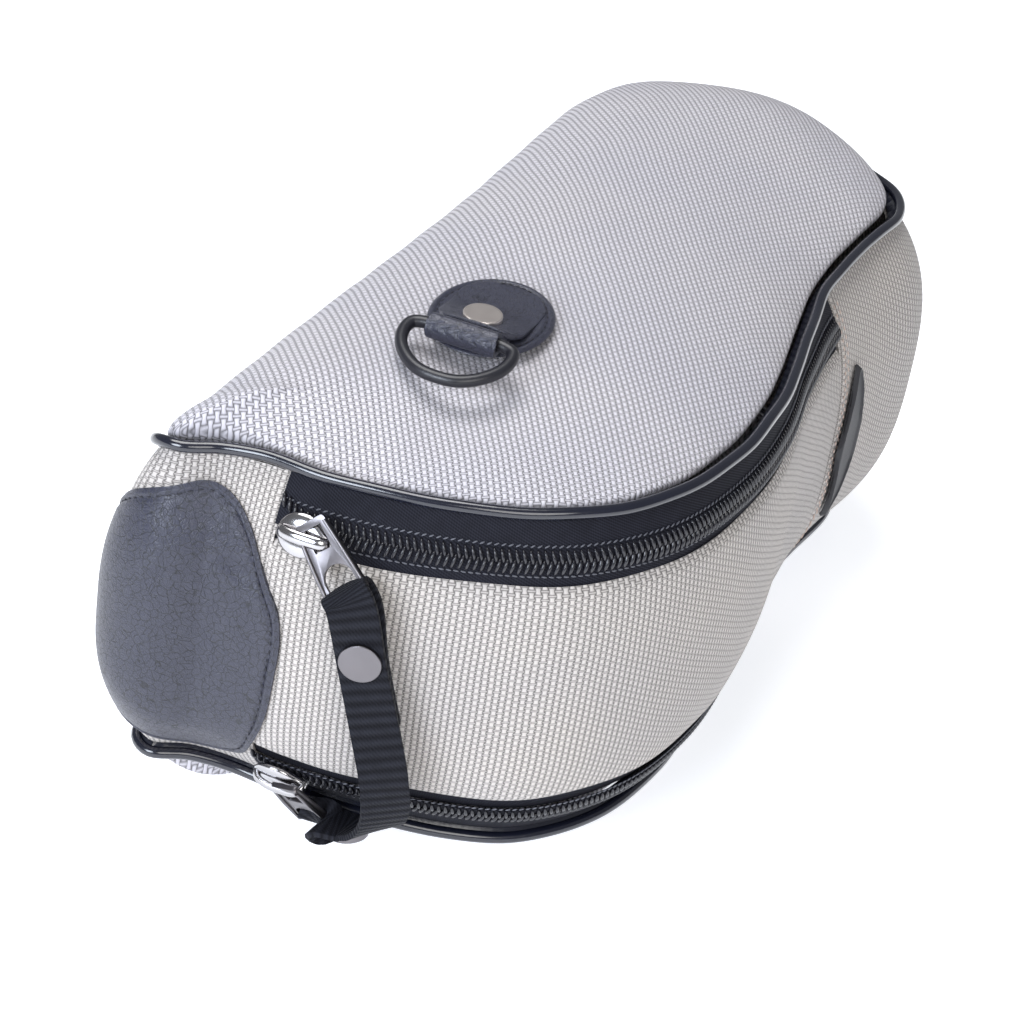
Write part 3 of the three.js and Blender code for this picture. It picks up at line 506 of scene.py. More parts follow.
def woven_cloth(name, light, dark, bridge, depth=0.16):
    cloth = Finish(name, Roughness=0.72, Sheen_Weight=0.15, Sheen_Roughness=0.4)
    across, along = cloth.cloth_map()
    row = along / PILLOW_PITCH
    drift = cloth.noise(cloth.place(), 0.035, 3.0) - 0.5
    rib = across / RIB_PITCH + drift * 0.9
    sway = (row * math.tau).math("COSINE") * (rib * math.pi).math("COSINE")
    bent = rib + sway * 0.13
    stagger = (bent * 0.5).math("FRACT").math("GREATER_THAN", 0.5) * 0.5
    from_rib = bent.math("FRACT") - 0.5
    from_pillow = (row + stagger).math("FRACT") - 0.5
    side = (from_rib * 2.0).math("ABSOLUTE")
    end = (from_pillow * 2.0).math("ABSOLUTE")
    round_rib = (1.0 - side ** 2.4).math("MAXIMUM", 0.0)
    pillow = round_rib * (1.0 - (end / 0.80) ** 3.0).math("MAXIMUM", 0.0)
    under = (1.0 - end).math("MULTIPLY", -2.6) + 1.0
    cross_yarn = under.math("MAXIMUM", 0.0) * (1.0 - side ** 4.0 * (1 - bridge)) * 0.66
    height = pillow.math("MAXIMUM", cross_yarn)
    fibre = cloth.noise(cloth.place(), 2.2, 2.0)
    # Painted light and shade: the colour runs from dark shade in the gaps between the pillows to the lit
    # pillow tops.
    shade = cloth.between(height + (fibre - 0.5) * 0.25, 0.04, 0.78)
    patches = cloth.between(cloth.noise(cloth.place(), 0.02, 3.0), 0.3, 0.7)
    colour = cloth.mix(shade, dark, light)
    cloth.link("Base Color", cloth.mix(patches, colour, (0.93, 0.94, 0.97), "MULTIPLY"))
    cloth.link("Roughness", 0.85 - shade * 0.18)
    cloth.bump(height + fibre * 0.12, depth)
    return cloth.material


panel_cloth = woven_cloth("panel cloth", (0.63, 0.605, 0.645), (0.13, 0.125, 0.130), 0.85)
gusset_cloth = woven_cloth("gusset cloth", (0.60, 0.555, 0.520), (0.13, 0.12, 0.11), 0.60)
print("woven cloth is ready")

# %% [markdown]
# ## Leather, piping, tape and metal
# The leather is pebbled: creases part it into uneven cells, finer grain lies between them,
# and the ridges are polished. The piping is a shiny vinyl cord. The zip tape and the webbing
# are fine black twills that look almost flat until light grazes them. The metal parts are
# plated: bright nickel on the sliders, brushed satin nickel on the pulls and the strap's
# caps, pale nickel on the rivets of the ring tabs.


# %% Leather
def pebbled_leather(name, cell, base=(0.032, 0.034, 0.056), rough=0.33, depth=0.13):
    leather = Finish(name, Roughness=rough, Specular_IOR_Level=0.55)
    place = leather.place()
    warp = leather.noise(place, 0.35 / cell, 2.0)
    drift = leather.noise(place, 0.5 / cell, 2.0, output=1)
    push = leather.node("ShaderNodeVectorMath", {"operation": "SCALE"}, {0: drift, "Scale": cell * 1.3})
    bent = leather.node("ShaderNodeVectorMath", {"operation": "ADD"}, {0: place, 1: push})
    cells, small = (leather.node("ShaderNodeTexVoronoi", {"feature": "DISTANCE_TO_EDGE"},
                                 {"Vector": bent, "Scale": scale / cell}) for scale in (1.0, 2.3))
    crease = leather.between(cells, 0.0, 0.07)
    grain = leather.between(small, 0.0, 0.16)
    fine = leather.noise(place, 3.2, 3.0)
    height = crease * 0.32 + grain * 0.30 + fine * 0.14 + warp * 0.9
    leather.bump(height, depth)
    # Painted shade: the colour darkens to near black in the creases and in the furrows of the finer grain.
    leather.link("Base Color", leather.mix(crease * 0.75 + grain * 0.25, (0.006, 0.007, 0.010), base))
    leather.link("Roughness", rough + 0.14 - crease * 0.10 + (fine - 0.5) * 0.12)
    return leather.material


end_leather = pebbled_leather("pebbled leather", 1.7)
tab_leather = pebbled_leather("tab leather", 1.2, (0.042, 0.044, 0.068), rough=0.30, depth=0.07)


# %% Vinyl, threads and webbing
def plain_gloss(name, colour, rough, grain, depth, **surface):
    gloss = Finish(name, Roughness=rough, **surface)
    place = gloss.place()
    fine = gloss.noise(place, grain, 3.0)
    wear = gloss.noise(place, 0.06, 2.0)
    gloss.link("Base Color", gloss.mix(wear, colour, tinted(colour, 1.5)))
    gloss.link("Roughness", rough + (fine - 0.5) * 0.16 + (wear - 0.5) * 0.10)
    gloss.bump(fine, depth)
    return gloss.material


piping_vinyl = plain_gloss("piping vinyl", (0.006, 0.007, 0.014), 0.18, 1.2, 0.02,
                           Specular_IOR_Level=0.6, Coat_Weight=0.5, Coat_Roughness=0.12)
coil_nylon = plain_gloss("coil nylon", (0.012, 0.012, 0.016), 0.20, 2.0, 0.02, Specular_IOR_Level=0.6)
ring_paint = plain_gloss("ring paint", (0.012, 0.012, 0.016), 0.34, 3.0, 0.02, Specular_IOR_Level=0.5)
patch_rubber = plain_gloss("patch rubber", (0.014, 0.014, 0.018), 0.55, 2.5, 0.03)
# Painted glint: the zip's thread is grey so that its stitches show as glints on the dark tape.
painted_glint_thread = plain_gloss("painted glint thread", (0.085, 0.088, 0.105), 0.40, 4.0, 0.03)
black_thread = plain_gloss("black thread", (0.012, 0.012, 0.017), 0.5, 4.0, 0.03)
sand_thread = plain_gloss("sand thread", (0.48, 0.38, 0.33), 0.6, 4.0, 0.03)


def twill(name, base, pale, pitch, slope, depth, rib=None):
    """Black woven tape: fine diagonal threads, and for webbing also wide ribs across it."""
    tape = Finish(name, Roughness=0.75, Specular_IOR_Level=0.12, Sheen_Weight=0.03, Sheen_Roughness=0.35)
    across, along = tape.cloth_map()
    wave = ((across * slope + along) * (math.tau / pitch)).math("SINE") * 0.5 + 0.5
    cross = (across * (math.tau / pitch / 0.8)).math("SINE") * 0.5 + 0.5
    height = wave * 0.7 + cross * 0.3
    if rib:
        ribs = (along * (math.tau / rib)).math("SINE") * 0.5 + 0.5
        height = height * 0.35 + ribs * 0.65
    # Painted light and shade: the colour is pale on the raised threads and ribs and dark in the grooves
    # between them, and a noise varies that paleness in random patches, partly dust and partly painted sheen.
    dust_and_sheen = tape.noise(tape.place(), 0.4, 3.0)
    tape.link("Base Color", tape.mix(height * (0.5 + dust_and_sheen), base, pale))
    tape.link("Roughness", 0.80 - height * 0.22)
    tape.bump(height, depth)
    return tape.material


tape_twill = twill("zip tape", (0.006, 0.006, 0.009), (0.020, 0.021, 0.031), 0.62, 0.55, 0.04)
webbing = twill("webbing", (0.004, 0.004, 0.006), (0.016, 0.017, 0.024), 0.75, 0.9, 0.22, rib=1.6)


# %% Metal
def plated(name, colour, rough, brushed):
    metal = Finish(name, Metallic=1.0, Roughness=rough)
    place = metal.place()
    wear = metal.noise(place, 0.25, 3.0)
    lines = metal.noise(metal.place(scale=(0.4, 0.4, 9.0)), 1.0, 2.0)
    metal.link("Base Color", metal.mix(wear, colour, tinted(colour, 0.86)))
    metal.link("Roughness", rough + (wear - 0.5) * 0.10 + (lines - 0.5) * brushed)
    metal.bump(lines * 0.4 + wear, 0.012)
    return metal.material


bright_nickel = plated("bright nickel", (0.50, 0.49, 0.50), 0.16, 0.02)
pale_nickel = plated("pale nickel", (0.92, 0.84, 0.79), 0.34, 0.05)
satin_nickel = plated("satin nickel", (0.19, 0.18, 0.19), 0.30, 0.05)
print("trim finishes are ready")

# %% [markdown]
# ## The side panels
# Each panel is one dome of padded cloth. The CAD solid already has the outline, the crest and
# the dent under the ring, in flat facets. A copy of it is rounded with a subdivision surface
# and then smoothed, except near its seam. On the upper one the height of the crown is blurred,
# the back and the far end are moved out a little, and shallow waves are moved into it where
# sewn cloth pulls towards its seam. The weave runs at a slant on the panels.

# %% Side panels
PANEL_GRAIN = (0.814, 0.581)
BACK_SWELL, FAR_SWELL = 1.9, 1.1


def seam_distance(x, y):
    """How far places are from the seam, seen from above."""
    away = np.hypot(x[:, None] - seam_line[None, ::6, 0], y[:, None] - seam_line[None, ::6, 1])
    return np.min(away, 1)


def panel_waves(x, y):
    """Shallow folds in millimetres: puckers by the seam, a long soft fold and broad unevenness."""
    distance = seam_distance(x, y)
    pucker = 0.22 * np.sin(x / 3.1 + 0.6 * np.sin(y / 9)) * np.exp(-distance / 7) * smooth_step(distance / 3)
    valley = -1.1 * bell(y + 0.30 * x + 13, 8) * smooth_step((-20 - x) / 26)
    ridge = 0.5 * bell(y - 0.45 * x - 30, 6) * smooth_step((-16 - x) / 16)
    broad = 0.28 * np.sin(x / 17 + y / 23) * np.sin(y / 13 - x / 31) * smooth_step(distance / 12)
    return pucker + valley + ridge + broad


def calm_crest(panel, places, step=1.5, spread=5.0, wall=1.6, seam_reach=8, tab_reach=14):
    """Blurs the crown's height, where the solid's rings end on a line, and leaves the tab's seat."""
    tree = BVHTree.FromPolygons(places.tolist(), [polygon.vertices[:] for polygon in panel.data.polygons])
    columns, rows = np.arange(-100, 190, step), np.arange(-75, 76, step)
    height = np.full((len(columns), len(rows)), np.nan)
    for i, x in enumerate(columns):
        for j, y in enumerate(rows):
            spot = tree.ray_cast((x, y, 100), (0, 0, -1))[0]
            if spot:
                height[i, j] = spot.z
    known = ~np.isnan(height)
    weights = np.exp(-(np.arange(-8, 9) * step / spread) ** 2 / 2)

    def blur(values):
        for axis in (0, 1):
            values = np.apply_along_axis(np.convolve, axis, values, weights, "same")
        return values
    held = np.where(known, height, 0)
    blurred = np.where(known, blur(held) / np.maximum(blur(known * 1.0), 1e-6), 0)
    x, y, z = places.T
    column, row = (x - columns[0]) / step, (y - rows[0]) / step
    i, j = column.astype(int), row.astype(int)
    u, v = column - i, row - j

    def read(grid):
        return ((grid[i, j] * (1 - v) + grid[i, j + 1] * v) * (1 - u)
                + (grid[i + 1, j] * (1 - v) + grid[i + 1, j + 1] * v) * u)
    crown, own = read(blurred), read(held)
    lift = np.where(z > own - wall, crown - z, crown - own)
    share = smooth_step((seam_distance(x, y) - seam_reach) / 9)
    share = share * smooth_step((np.hypot(x, y) - tab_reach) / 8)
    return places + np.column_stack([np.zeros((len(x), 2)), lift * share])


def side_panel(name, node, side):
    panel = cad_copy(name, node)
    levels, rounds = (3, 200) if side > 0 else (2, 24)
    apply_modifier(panel, "SUBSURF", levels=levels, render_levels=levels)
    places = (vertex_places(panel) - middle) / MM
    inner = panel.vertex_groups.new(name="inner cloth")
    for index, share in enumerate(smooth_step((seam_distance(places[:, 0], places[:, 1]) - 3) / 6)):
        inner.add([index], float(share), "REPLACE")
    apply_modifier(panel, "SMOOTH", factor=0.5, iterations=rounds, vertex_group=inner.name)
    places = (vertex_places(panel) - middle) / MM
    x, y, z = places.T
    if side > 0:
        places = calm_crest(panel, places)
        z = places[:, 2]
        back = smooth_step((y - 14) / 22) * smooth_step((z - 30) / 12)
        far = smooth_step((x - 50) / 60)
        lift = panel_waves(x, y) + 0.6 * back + 1.0 * far
        move = np.column_stack([FAR_SWELL * far, BACK_SWELL * back, lift])
        move_vertices(panel, to_frame(places + move * smooth_step((z - 34) / 6)[:, None]))
    along_x, along_y = PANEL_GRAIN
    set_cloth_map(panel, x * along_y - y * along_x, x * along_x + y * along_y)
    smooth_shading(panel)
    finished(panel, panel_cloth, "woven_cloth", node)


side_panel("panel_top", "side_panel_upper", 1)
side_panel("panel_under", "side_panel_lower", -1)

# %% [markdown]
# ## The gusset and the lid
# The gusset is one long band of the same cloth in three pieces, and the lid strip lies between
# the zips. A flat grid is laid round the seam on the swell of the gusset and then gets its
# wall. Its ribs stand upright. Where an edge is folded under, at the zips and at the waist,
# its last millimetre or two roll inwards.


# %% Bands of cloth round the pouch
def profile_length(at, height):
    swell = BULGE * read_table(SWELL, at, "swell")
    size = np.abs(height)
    return np.sign(height) * (size + 0.9 * swell ** 2 * size ** 5 / EDGE_HEIGHT ** 6)


FOLD_REACH = 1.6


def band(name, node, run, low, high, finish, slot, fold_sides=0.0, fold_ends=0.0, wall=2.6, out=0.0,
         rows=4, ripple=0.0):
    """Cloth between two places round the seam and two heights, rolled in at folded edges."""
    start, end = run
    long = (end - start) * SEAM_ROUND

    def place(u, v):
        at = start + (end - start) * u
        height = low + (high - low) * v
        from_side = np.minimum(v, 1 - v) * (high - low)
        from_end = np.minimum(u, 1 - u) * long
        roll = sum(-depth * (1 - np.clip(away / FOLD_REACH, 0, 1)) ** 2
                   for depth, away in ((fold_sides, from_side), (fold_ends, from_end)))
        waves = ripple * np.sin(at * SEAM_ROUND / 5.5 + 0.8 * np.sin(height / 7)) * np.exp(-from_side / 6)
        return gusset_point(at, height, out + roll + waves), at * SEAM_ROUND, profile_length(at, height)

    cloth = laid_grid(name, int(long / 1.8), rows, place)
    walled(cloth, wall, shading=55)
    finished(cloth, finish, slot, *([node] if node else []))
    finish == gusset_cloth


END_GAP = 0.35 / SEAM_ROUND
LID_EDGE = CHAIN_HEIGHT - 5.6
ZIP_RUN = (ZIP_START + END_GAP, WAIST - END_GAP)
for name, node, run, fold, ripple in (
    ("gusset_bottom", "gusset_bottom_front", (WAIST + END_GAP, BOTTOM_SPLIT - END_GAP), 0.9, 0.25),
    ("gusset_rear", "gusset_back", (BOTTOM_SPLIT + END_GAP, BACK_SPLIT - END_GAP), 0.0, 0.25),
    ("gusset_top", "gusset_top_end", (BACK_SPLIT + END_GAP, 1 + ZIP_START + 2 * END_GAP), 0.5, 0.2),
):
    band(name, node, run, -EDGE_HEIGHT, EDGE_HEIGHT, gusset_cloth, "woven_cloth", fold_ends=fold,
         rows=40, ripple=ripple)
band("lid", "lid_strip", ZIP_RUN, -LID_EDGE, LID_EDGE, gusset_cloth, "woven_cloth", 1.0, 0.4,
     rows=34, ripple=0.18)

# %% [markdown]
# ## The piping
# A shiny cord runs on both seams, in a fold of vinyl whose flange is sewn between panel and
# gusset. The cord is a tube along the seam, a touch uneven as sewn piping is, and the flange
# is a thin band that reaches into the seam.


# %% Piping
def seam_run(at, side, out, up):
    point, outward = seam_at(at)
    below = np.full(np.shape(at), side < 0)
    tucked = np.where(below, TUCK * read_table(SEAM_SHAPE, at, "tuck"), 0)
    level = side * (seam_half(at, below) + up)
    return np.column_stack([point + outward * (out - tucked)[:, None], level])


def piping(name, node, side):
    at = np.linspace(0, 1, 420, endpoint=False)
    uneven = 0.12 * np.sin(at * math.tau * 23) * np.sin(at * math.tau * 5)
    cord = tube(name, seam_run(at, side, 0.75 + uneven, 0.75 - uneven), 1.3, closed=True, sides=4)
    flange = laid_grid(name + "_flange", 200, 1, lambda u, v: (
        seam_run(u, side, 0.3 - 2.0 * v, 0.3 - 2.0 * v), u * SEAM_ROUND, v * 3))
    apply_modifier(flange, "SOLIDIFY", thickness=0.5 * MM, offset=0)
    finished(flange, piping_vinyl, "piping")
    finished(cord, piping_vinyl, "piping", node)


piping("piping_top", "piping_upper", 1)
piping("piping_under", "piping_lower", -1)

# %% [markdown]
# ## The zips
# A coil zip is two tapes with a nylon spiral sewn along each edge. Closed, the turns of the
# two spirals lie one between the other. One turn is modelled as a small bent bead and copied
# along both sides of the chain, half a step apart, over a dark core. Past the slider the two
# sides part a little. A line of thread holds each spiral to its tape.


# %% Tapes
for word, side in SIDES:
    fixed = sorted((side * (CHAIN_HEIGHT + 2.0), side * EDGE_HEIGHT))
    near_lid = sorted((side * (LID_EDGE - 3), side * (CHAIN_HEIGHT - 2.0)))
    band("tape_outer_" + word, "zip_tape_fixed_" + word, ZIP_RUN, *fixed, tape_twill, "zip_tape",
         wall=0.8, out=-0.1)
    band("tape_inner_" + word, "zip_tape_lid_" + word, ZIP_RUN, *near_lid, tape_twill, "zip_tape",
         wall=0.6, out=-1.3)

# %% Coil turns
TOOTH_PITCH = 1.4
SLIDER_AT = 0.052
tooth = added(bpy.ops.mesh.primitive_uv_sphere_add, segments=8, ring_count=6, radius=1)
tooth_shape = vertex_places(tooth) * (0.46, 1.75, 0.62)
tooth_shape[:, 2] -= 0.08 * tooth_shape[:, 1] ** 2
move_vertices(tooth, tooth_shape)
stitch = added(bpy.ops.mesh.primitive_uv_sphere_add, segments=6, ring_count=5, radius=1)
move_vertices(stitch, vertex_places(stitch) * (0.62, 0.19, 0.17))


def along_zip(name, pattern, height, out, slant, finish, slot, *replaced, shift=0.0, spread=0.0):
    """Copies a pattern along a zip at one height, each turned by a slant in radians."""
    start, end = ZIP_RUN
    count = int((end - start) * SEAM_ROUND / TOOTH_PITCH)
    at = start + (np.arange(count) + 0.5 + shift) * TOOTH_PITCH / SEAM_ROUND
    opened = smooth_step((SLIDER_AT - at) / (SLIDER_AT - ZIP_START)) * spread
    centre, along, up, facing = gusset_axes(at, height + opened, out)
    turned = along * math.cos(slant) + up * math.sin(slant)
    risen = up * math.cos(slant) - along * math.sin(slant)
    finished(copies(name, pattern, centre, turned, risen, facing), finish, slot, *replaced)


for word, side in SIDES:
    height = side * CHAIN_HEIGHT
    along_zip("coil_outer_" + word, tooth, height + 0.95, 0.45, 0.28, coil_nylon, "zip_coil",
              "zip_chain_" + word, spread=2.0)
    along_zip("coil_inner_" + word, tooth, height - 0.95, 0.45, -0.28, coil_nylon, "zip_coil",
              shift=0.5, spread=-2.0)
    band("chain_core_" + word, None, ZIP_RUN, height - 2.2, height + 2.2, tape_twill, "zip_tape",
         wall=0.5, rows=2, out=0.1)
    along_zip("coil_thread_outer_" + word, stitch, height + 2.95, 0.10, 0.5, painted_glint_thread, "zip_tape")
    along_zip("coil_thread_inner_" + word, stitch, height - 3.3, -0.42, -0.12, painted_glint_thread, "zip_tape")

# %% [markdown]
# ## Sliders and pulls
# A slider is a small zinc casting: a rounded body that narrows to a blunt nose, with a bridge
# over it that the pull hangs on. The body is a sphere, flattened and drawn in towards the
# nose, and the bridge is a flattened cord in an arch. The pull is stamped from plate, so its
# CAD solid is copied, its edges are softened, and a raised rim is laid along both sides.


# %% Slider
def slider_body():
    body = added(bpy.ops.mesh.primitive_uv_sphere_add, segments=40, ring_count=20, radius=1)
    x, y, z = vertex_places(body).T
    squared = np.sign(x) * np.abs(x) ** 0.8
    taper = 1 - 0.42 * smooth_step((x + 0.1) / 0.8)
    channel = 0.30 * bell(y, 0.34) * smooth_step((z - 0.1) / 0.5)
    move_vertices(body, np.column_stack([squared * 6.0, y * 4.6 * taper,
                                         np.clip(z, -0.7, 1) * 1.5 - channel]))
    return body


def slider_bridge():
    arch = smooth_line([(-5.4, 0, -0.2), (-4.7, 0, 1.6), (-2.4, 0, 2.55), (1.2, 0, 2.75),
                        (4.0, 0, 2.35), (5.2, 0, 1.1), (5.4, 0, -0.4)], False, 8)
    bridge = tube("bridge", arch, 0.8, sides=4, local=True)
    move_vertices(bridge, vertex_places(bridge) * (1, 1.7, 1))
    return bridge


SLIDER_OUT = 2.55
SLIDER_SHIFT = (1.4, -1.3)


def at_slider(side, out=0.0):
    """Middle, axes and shift of a zip's slider, with the upper one a little lower on its zip."""
    centre, along, up, facing = (value[0] for value in gusset_axes(
        np.array([SLIDER_AT]), np.array([side * CHAIN_HEIGHT]), out))
    shift = along * SLIDER_SHIFT[0] + up * (SLIDER_SHIFT[1] if side > 0 else 0)
    return centre, along, up, facing, shift


for word, side in SIDES:
    centre, along, up, facing, shift = at_slider(side, SLIDER_OUT)
    slider = joined("zip_slider_" + word, slider_body(), slider_bridge())
    settle(slider, centre + shift, along, up, facing)
    smooth_shading(slider, 60)
    finished(slider, bright_nickel, "bright_nickel", "slider_" + word)

# %% Pull
PULL_OUT, PULL_SHIFT, PULL_LOW, PULL_TOP = 4.0, 3.35, -12.95, 4.05
PULL_TURN = {1: 0.78, -1: 0.35}


def pull_axes(side):
    centre, along, up, facing, shift = at_slider(side)
    cosine, sine = math.cos(PULL_TURN[side]), math.sin(PULL_TURN[side])
    middle_place = centre + along * PULL_SHIFT + facing * PULL_OUT + shift
    return middle_place, along * cosine + up * sine, up * cosine - along * sine, facing, shift


for word, side in SIDES:
    plate = cad_copy("zip_pull_" + word, "pull_" + word)
    apply_modifier(plate, "BEVEL", width=0.12 * MM, segments=2, limit_method="ANGLE",
                   angle_limit=math.radians(40))
    centre, x_axis, y_axis, z_axis, shift = pull_axes(side)
    move_vertices(plate, vertex_places(plate) + shift * MM)
    for edge in (-1, 1):
        rim_line = [(edge * 3.05, PULL_TOP - 1.2, 1.1), (edge * 3.8, -4.5, 1.25),
                    (edge * 4.35, PULL_LOW + 0.7, 1.1)]
        rim = tube("rim", smooth_line(rim_line, False, 12), 0.42, sides=3, local=True)
        settle(rim, centre, x_axis, y_axis, z_axis)
        plate = joined(plate.name, plate, rim)
    smooth_shading(plate, 40)
    finished(plate, satin_nickel, "satin_nickel", "pull_" + word)

# %% [markdown]
# ## The strap between the pulls
# A band of ribbed webbing is threaded through the slot of each pull, folded back and riveted.
# It swings out from the gusset, turns over at the lower corner and comes back to the lower
# pull. Its route follows the CAD source's table, a little higher at the upper pull, with the
# fold through the upper slot and the short end behind it added. The band is a grid laid along
# that route, its width turned from place to place.

# %% Strap
STRAP_WIDTH, STRAP_REACH, STRAP_BEHIND = 10, 60, 1.6
STRAP_ROUTE = np.array([
    (0.270, 0.180, 0.115, 0), (0.330, -0.050, 0.130, -4), (0.382, -0.300, 0.145, -10),
    (0.390, -0.510, 0.150, -25), (0.342, -0.640, 0.150, -55),
    (0.275, -0.690, 0.145, -80), (0.192, -0.702, 0.138, -88),
])


def strap_knots(behind=0.0):
    """Centres and width directions of the strap at the rows of its route."""
    at = SLIDER_AT + STRAP_ROUTE[:, 0] * STRAP_REACH / SEAM_ROUND
    centres = gusset_point(at, STRAP_ROUTE[:, 1] * STRAP_REACH, STRAP_ROUTE[:, 2] * STRAP_REACH - behind)
    run = unit(np.gradient(centres, axis=0))
    out = seam_at(at)[1]
    wide = unit(np.cross(run, np.column_stack([out, np.zeros(len(out))])))
    angle = np.radians(STRAP_ROUTE[:, 3])[:, None]
    return centres, wide * np.cos(angle) + np.cross(run, wide) * np.sin(angle)


def in_pull(side, *points):
    centre, x_axis, y_axis, z_axis, _ = pull_axes(side)
    return np.array([centre + x_axis * x + y_axis * y + z_axis * z for x, y, z in points])


def like(wide, other):
    """The same width direction, turned over where it looks away from the other."""
    return wide if np.dot(wide, other) > 0 else -wide


centres, wides = strap_knots()
short_end = strap_knots(STRAP_BEHIND)[0][[1, 0]]
fold = in_pull(1, (0.0, -14.6, -1.5), (0.0, -11.9, -1.1), (0.0, -10.7, 0.5), (0.0, -11.7, 2.1),
               (0.0, -14.4, 2.2))
end = in_pull(-1, (0.0, -13.5, 0.4))
upper_wide = like(pull_axes(1)[1], wides[0])
lower_wide = like(pull_axes(-1)[1], wides[-1])
centres = np.vstack([short_end, fold, centres, end])
wides = np.vstack([wides[[1, 0]], np.tile(upper_wide, (len(fold), 1)), wides, [lower_wide]])
fold_share = (len(short_end) + 2) / (len(centres) - 1)
strap_centres = smooth_line(centres, False, 24)
strap_wides = smooth_line(wides, False, 24)


def strap_run(share):
    """Centre, width direction and outward direction of the strap at shares of its length."""
    run = unit(read_line(strap_centres, share + 0.003) - read_line(strap_centres, share - 0.003))
    wide = read_line(strap_wides, share)
    wide = unit(wide - run * np.sum(wide * run, axis=-1, keepdims=True))
    return read_line(strap_centres, share), wide, np.cross(wide, run)


STRAP_LONG = float(np.sum(np.linalg.norm(np.diff(strap_centres, axis=0), axis=1)))


def strap_place(u, v):
    centre, wide, thick = strap_run(u)
    narrowed = 1 - 0.16 * bell(u - fold_share, 0.03)
    across = (v - 0.5) * STRAP_WIDTH * narrowed
    cupped = -0.5 * (2 * v - 1) ** 2 * bell(u - fold_share, 0.05)
    return centre + wide * across[:, None] + thick * cupped[:, None], across, u * STRAP_LONG


strap = laid_grid("strap", 150, 8, strap_place)
walled(strap, 1.25, offset=0, rounded=0.35)
finished(strap, webbing, "strap_webbing", "webbing_strap")
print("the strap is", round(STRAP_LONG), "mm long with its fold")


# %% Caps and rivets
CAP_SIZE, RIVET_SIZE = (4.4, 1.6), (4.2, 1.7)


def pressed_cap(name, node, centre, facing, size, metal):
    """A pressed cap of a radius and a height: a flat disc with a rounded rim."""
    cap = added(bpy.ops.mesh.primitive_cylinder_add, vertices=48, radius=1, depth=1)
    cap.name = name
    for polygon in cap.data.polygons:
        polygon.select = polygon.normal.z > 0.9
    only(cap)
    bpy.ops.object.mode_set(mode="EDIT")
    bpy.ops.mesh.select_mode(type="FACE")
    for _ in range(5):
        # The insets keep the shading of the top flat up to its rim.
        bpy.ops.mesh.inset(thickness=0.17)
    bpy.ops.object.mode_set(mode="OBJECT")
    radius, height = size
    turn = np.array(Vector(facing).normalized().to_track_quat("Z", "Y").to_matrix())
    settle(cap, centre, *(turn.T * [[radius], [radius], [height]]))
    apply_modifier(cap, "BEVEL", width=0.22 * MM, segments=3, limit_method="ANGLE", angle_limit=0.7)
    smooth_shading(cap, 50)
    finished(cap, metal, "satin_nickel", node)


for word, _ in SIDES:
    low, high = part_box("strap_cap_" + word)
    spot = (np.array((low + high) / 2) - middle) / MM
    runs, _, thicks = strap_run(np.linspace(fold_share, 1, 400))
    near = int(np.argmin(np.linalg.norm(runs - spot, axis=1)))
    facing = thicks[near] * np.sign(np.dot(spot - runs[near], thicks[near]))
    pressed_cap("strap_rivet_" + word, "strap_cap_" + word, runs[near] + facing * 0.7, facing,
                CAP_SIZE, satin_nickel)

# %% [markdown]
# ## Leather patch, blank oval and belt loop
# The patch is a shield of padded leather sewn over the end of the gusset. A grid runs round
# its outline and in to its middle, swells a little, is pressed down along its line of stitches
# and has one slanting fold. The oval on the front carries nothing but a raised border. The
# belt loop at the back stands off the gusset.

# %% Patch
PATCH_REACH = 37.5
PATCH_MIDDLE = 0.012
PATCH_SHAPE = np.array([
    (-0.60, 0.03), (-0.575, 0.26), (-0.50, 0.50), (-0.40, 0.70), (-0.24, 0.89), (-0.04, 0.98),
    (0.16, 0.93), (0.34, 0.76), (0.47, 0.53), (0.565, 0.36), (0.595, 0.20), (0.59, -0.05),
    (0.56, -0.40), (0.49, -0.66), (0.38, -0.88), (0.20, -0.98), (-0.05, -1.00), (-0.26, -0.88),
    (-0.42, -0.68), (-0.54, -0.42), (-0.59, -0.18),
])
patch_outline = smooth_line(PATCH_SHAPE * PATCH_REACH, True, 10)
patch_outline = np.vstack([patch_outline, patch_outline[:1]])
patch_centre = np.array([0.0, -2.0])


def patch_spot(turn, reach):
    """A place on the patch by how far round its outline and how far from its middle."""
    edge = read_line(patch_outline, turn)
    return patch_centre + (edge - patch_centre) * np.asarray(reach)[..., None], edge


def patch_place(u, v):
    reach = 1 - (1 - v) ** 1.5
    spot, edge = patch_spot(u, reach)
    from_edge = (1 - reach) * np.linalg.norm(edge - patch_centre, axis=-1)
    swollen = 1.3 * smooth_step(from_edge / 13) + 0.45 * smooth_step(from_edge / 1.0)
    groove = -0.5 * bell(from_edge - 1.7, 0.4)
    along, height = spot.T
    fold = -0.7 * bell(height - 24 + 0.3 * along, 1.8) * smooth_step((along - 3) / 8)
    out = 0.8 + swollen + groove + fold * smooth_step(from_edge / 3)
    return gusset_point(PATCH_MIDDLE + along / SEAM_ROUND, height, out), along, height


patch = laid_grid("end_patch", 160, 44, patch_place)
close_seams(patch, (-1, 0, 0))
walled(patch, 1.3, shading=60)
finished(patch, end_leather, "black_leather", "leather_end_patch")


# %% Oval and belt loop
OVAL_AT, OVAL_LENGTH, OVAL_WIDTH = 0.380, 43, 13


def oval_place(u, v):
    share = 2 * u - 1
    half = OVAL_LENGTH / 2 * np.maximum(0.04, 1 - np.abs(share) ** 1.6)
    height = (2 * v - 1) * half
    at = OVAL_AT + share * OVAL_WIDTH / 2 / SEAM_ROUND
    edge = np.minimum((1 - np.abs(2 * v - 1)) * half, (1 - np.abs(share)) * OVAL_WIDTH / 2)
    border = 0.45 * bell(edge - 1.0, 0.55) + 0.9 * smooth_step(edge / 0.5)
    return gusset_point(at, height, 0.7 + border), share * OVAL_WIDTH / 2, height


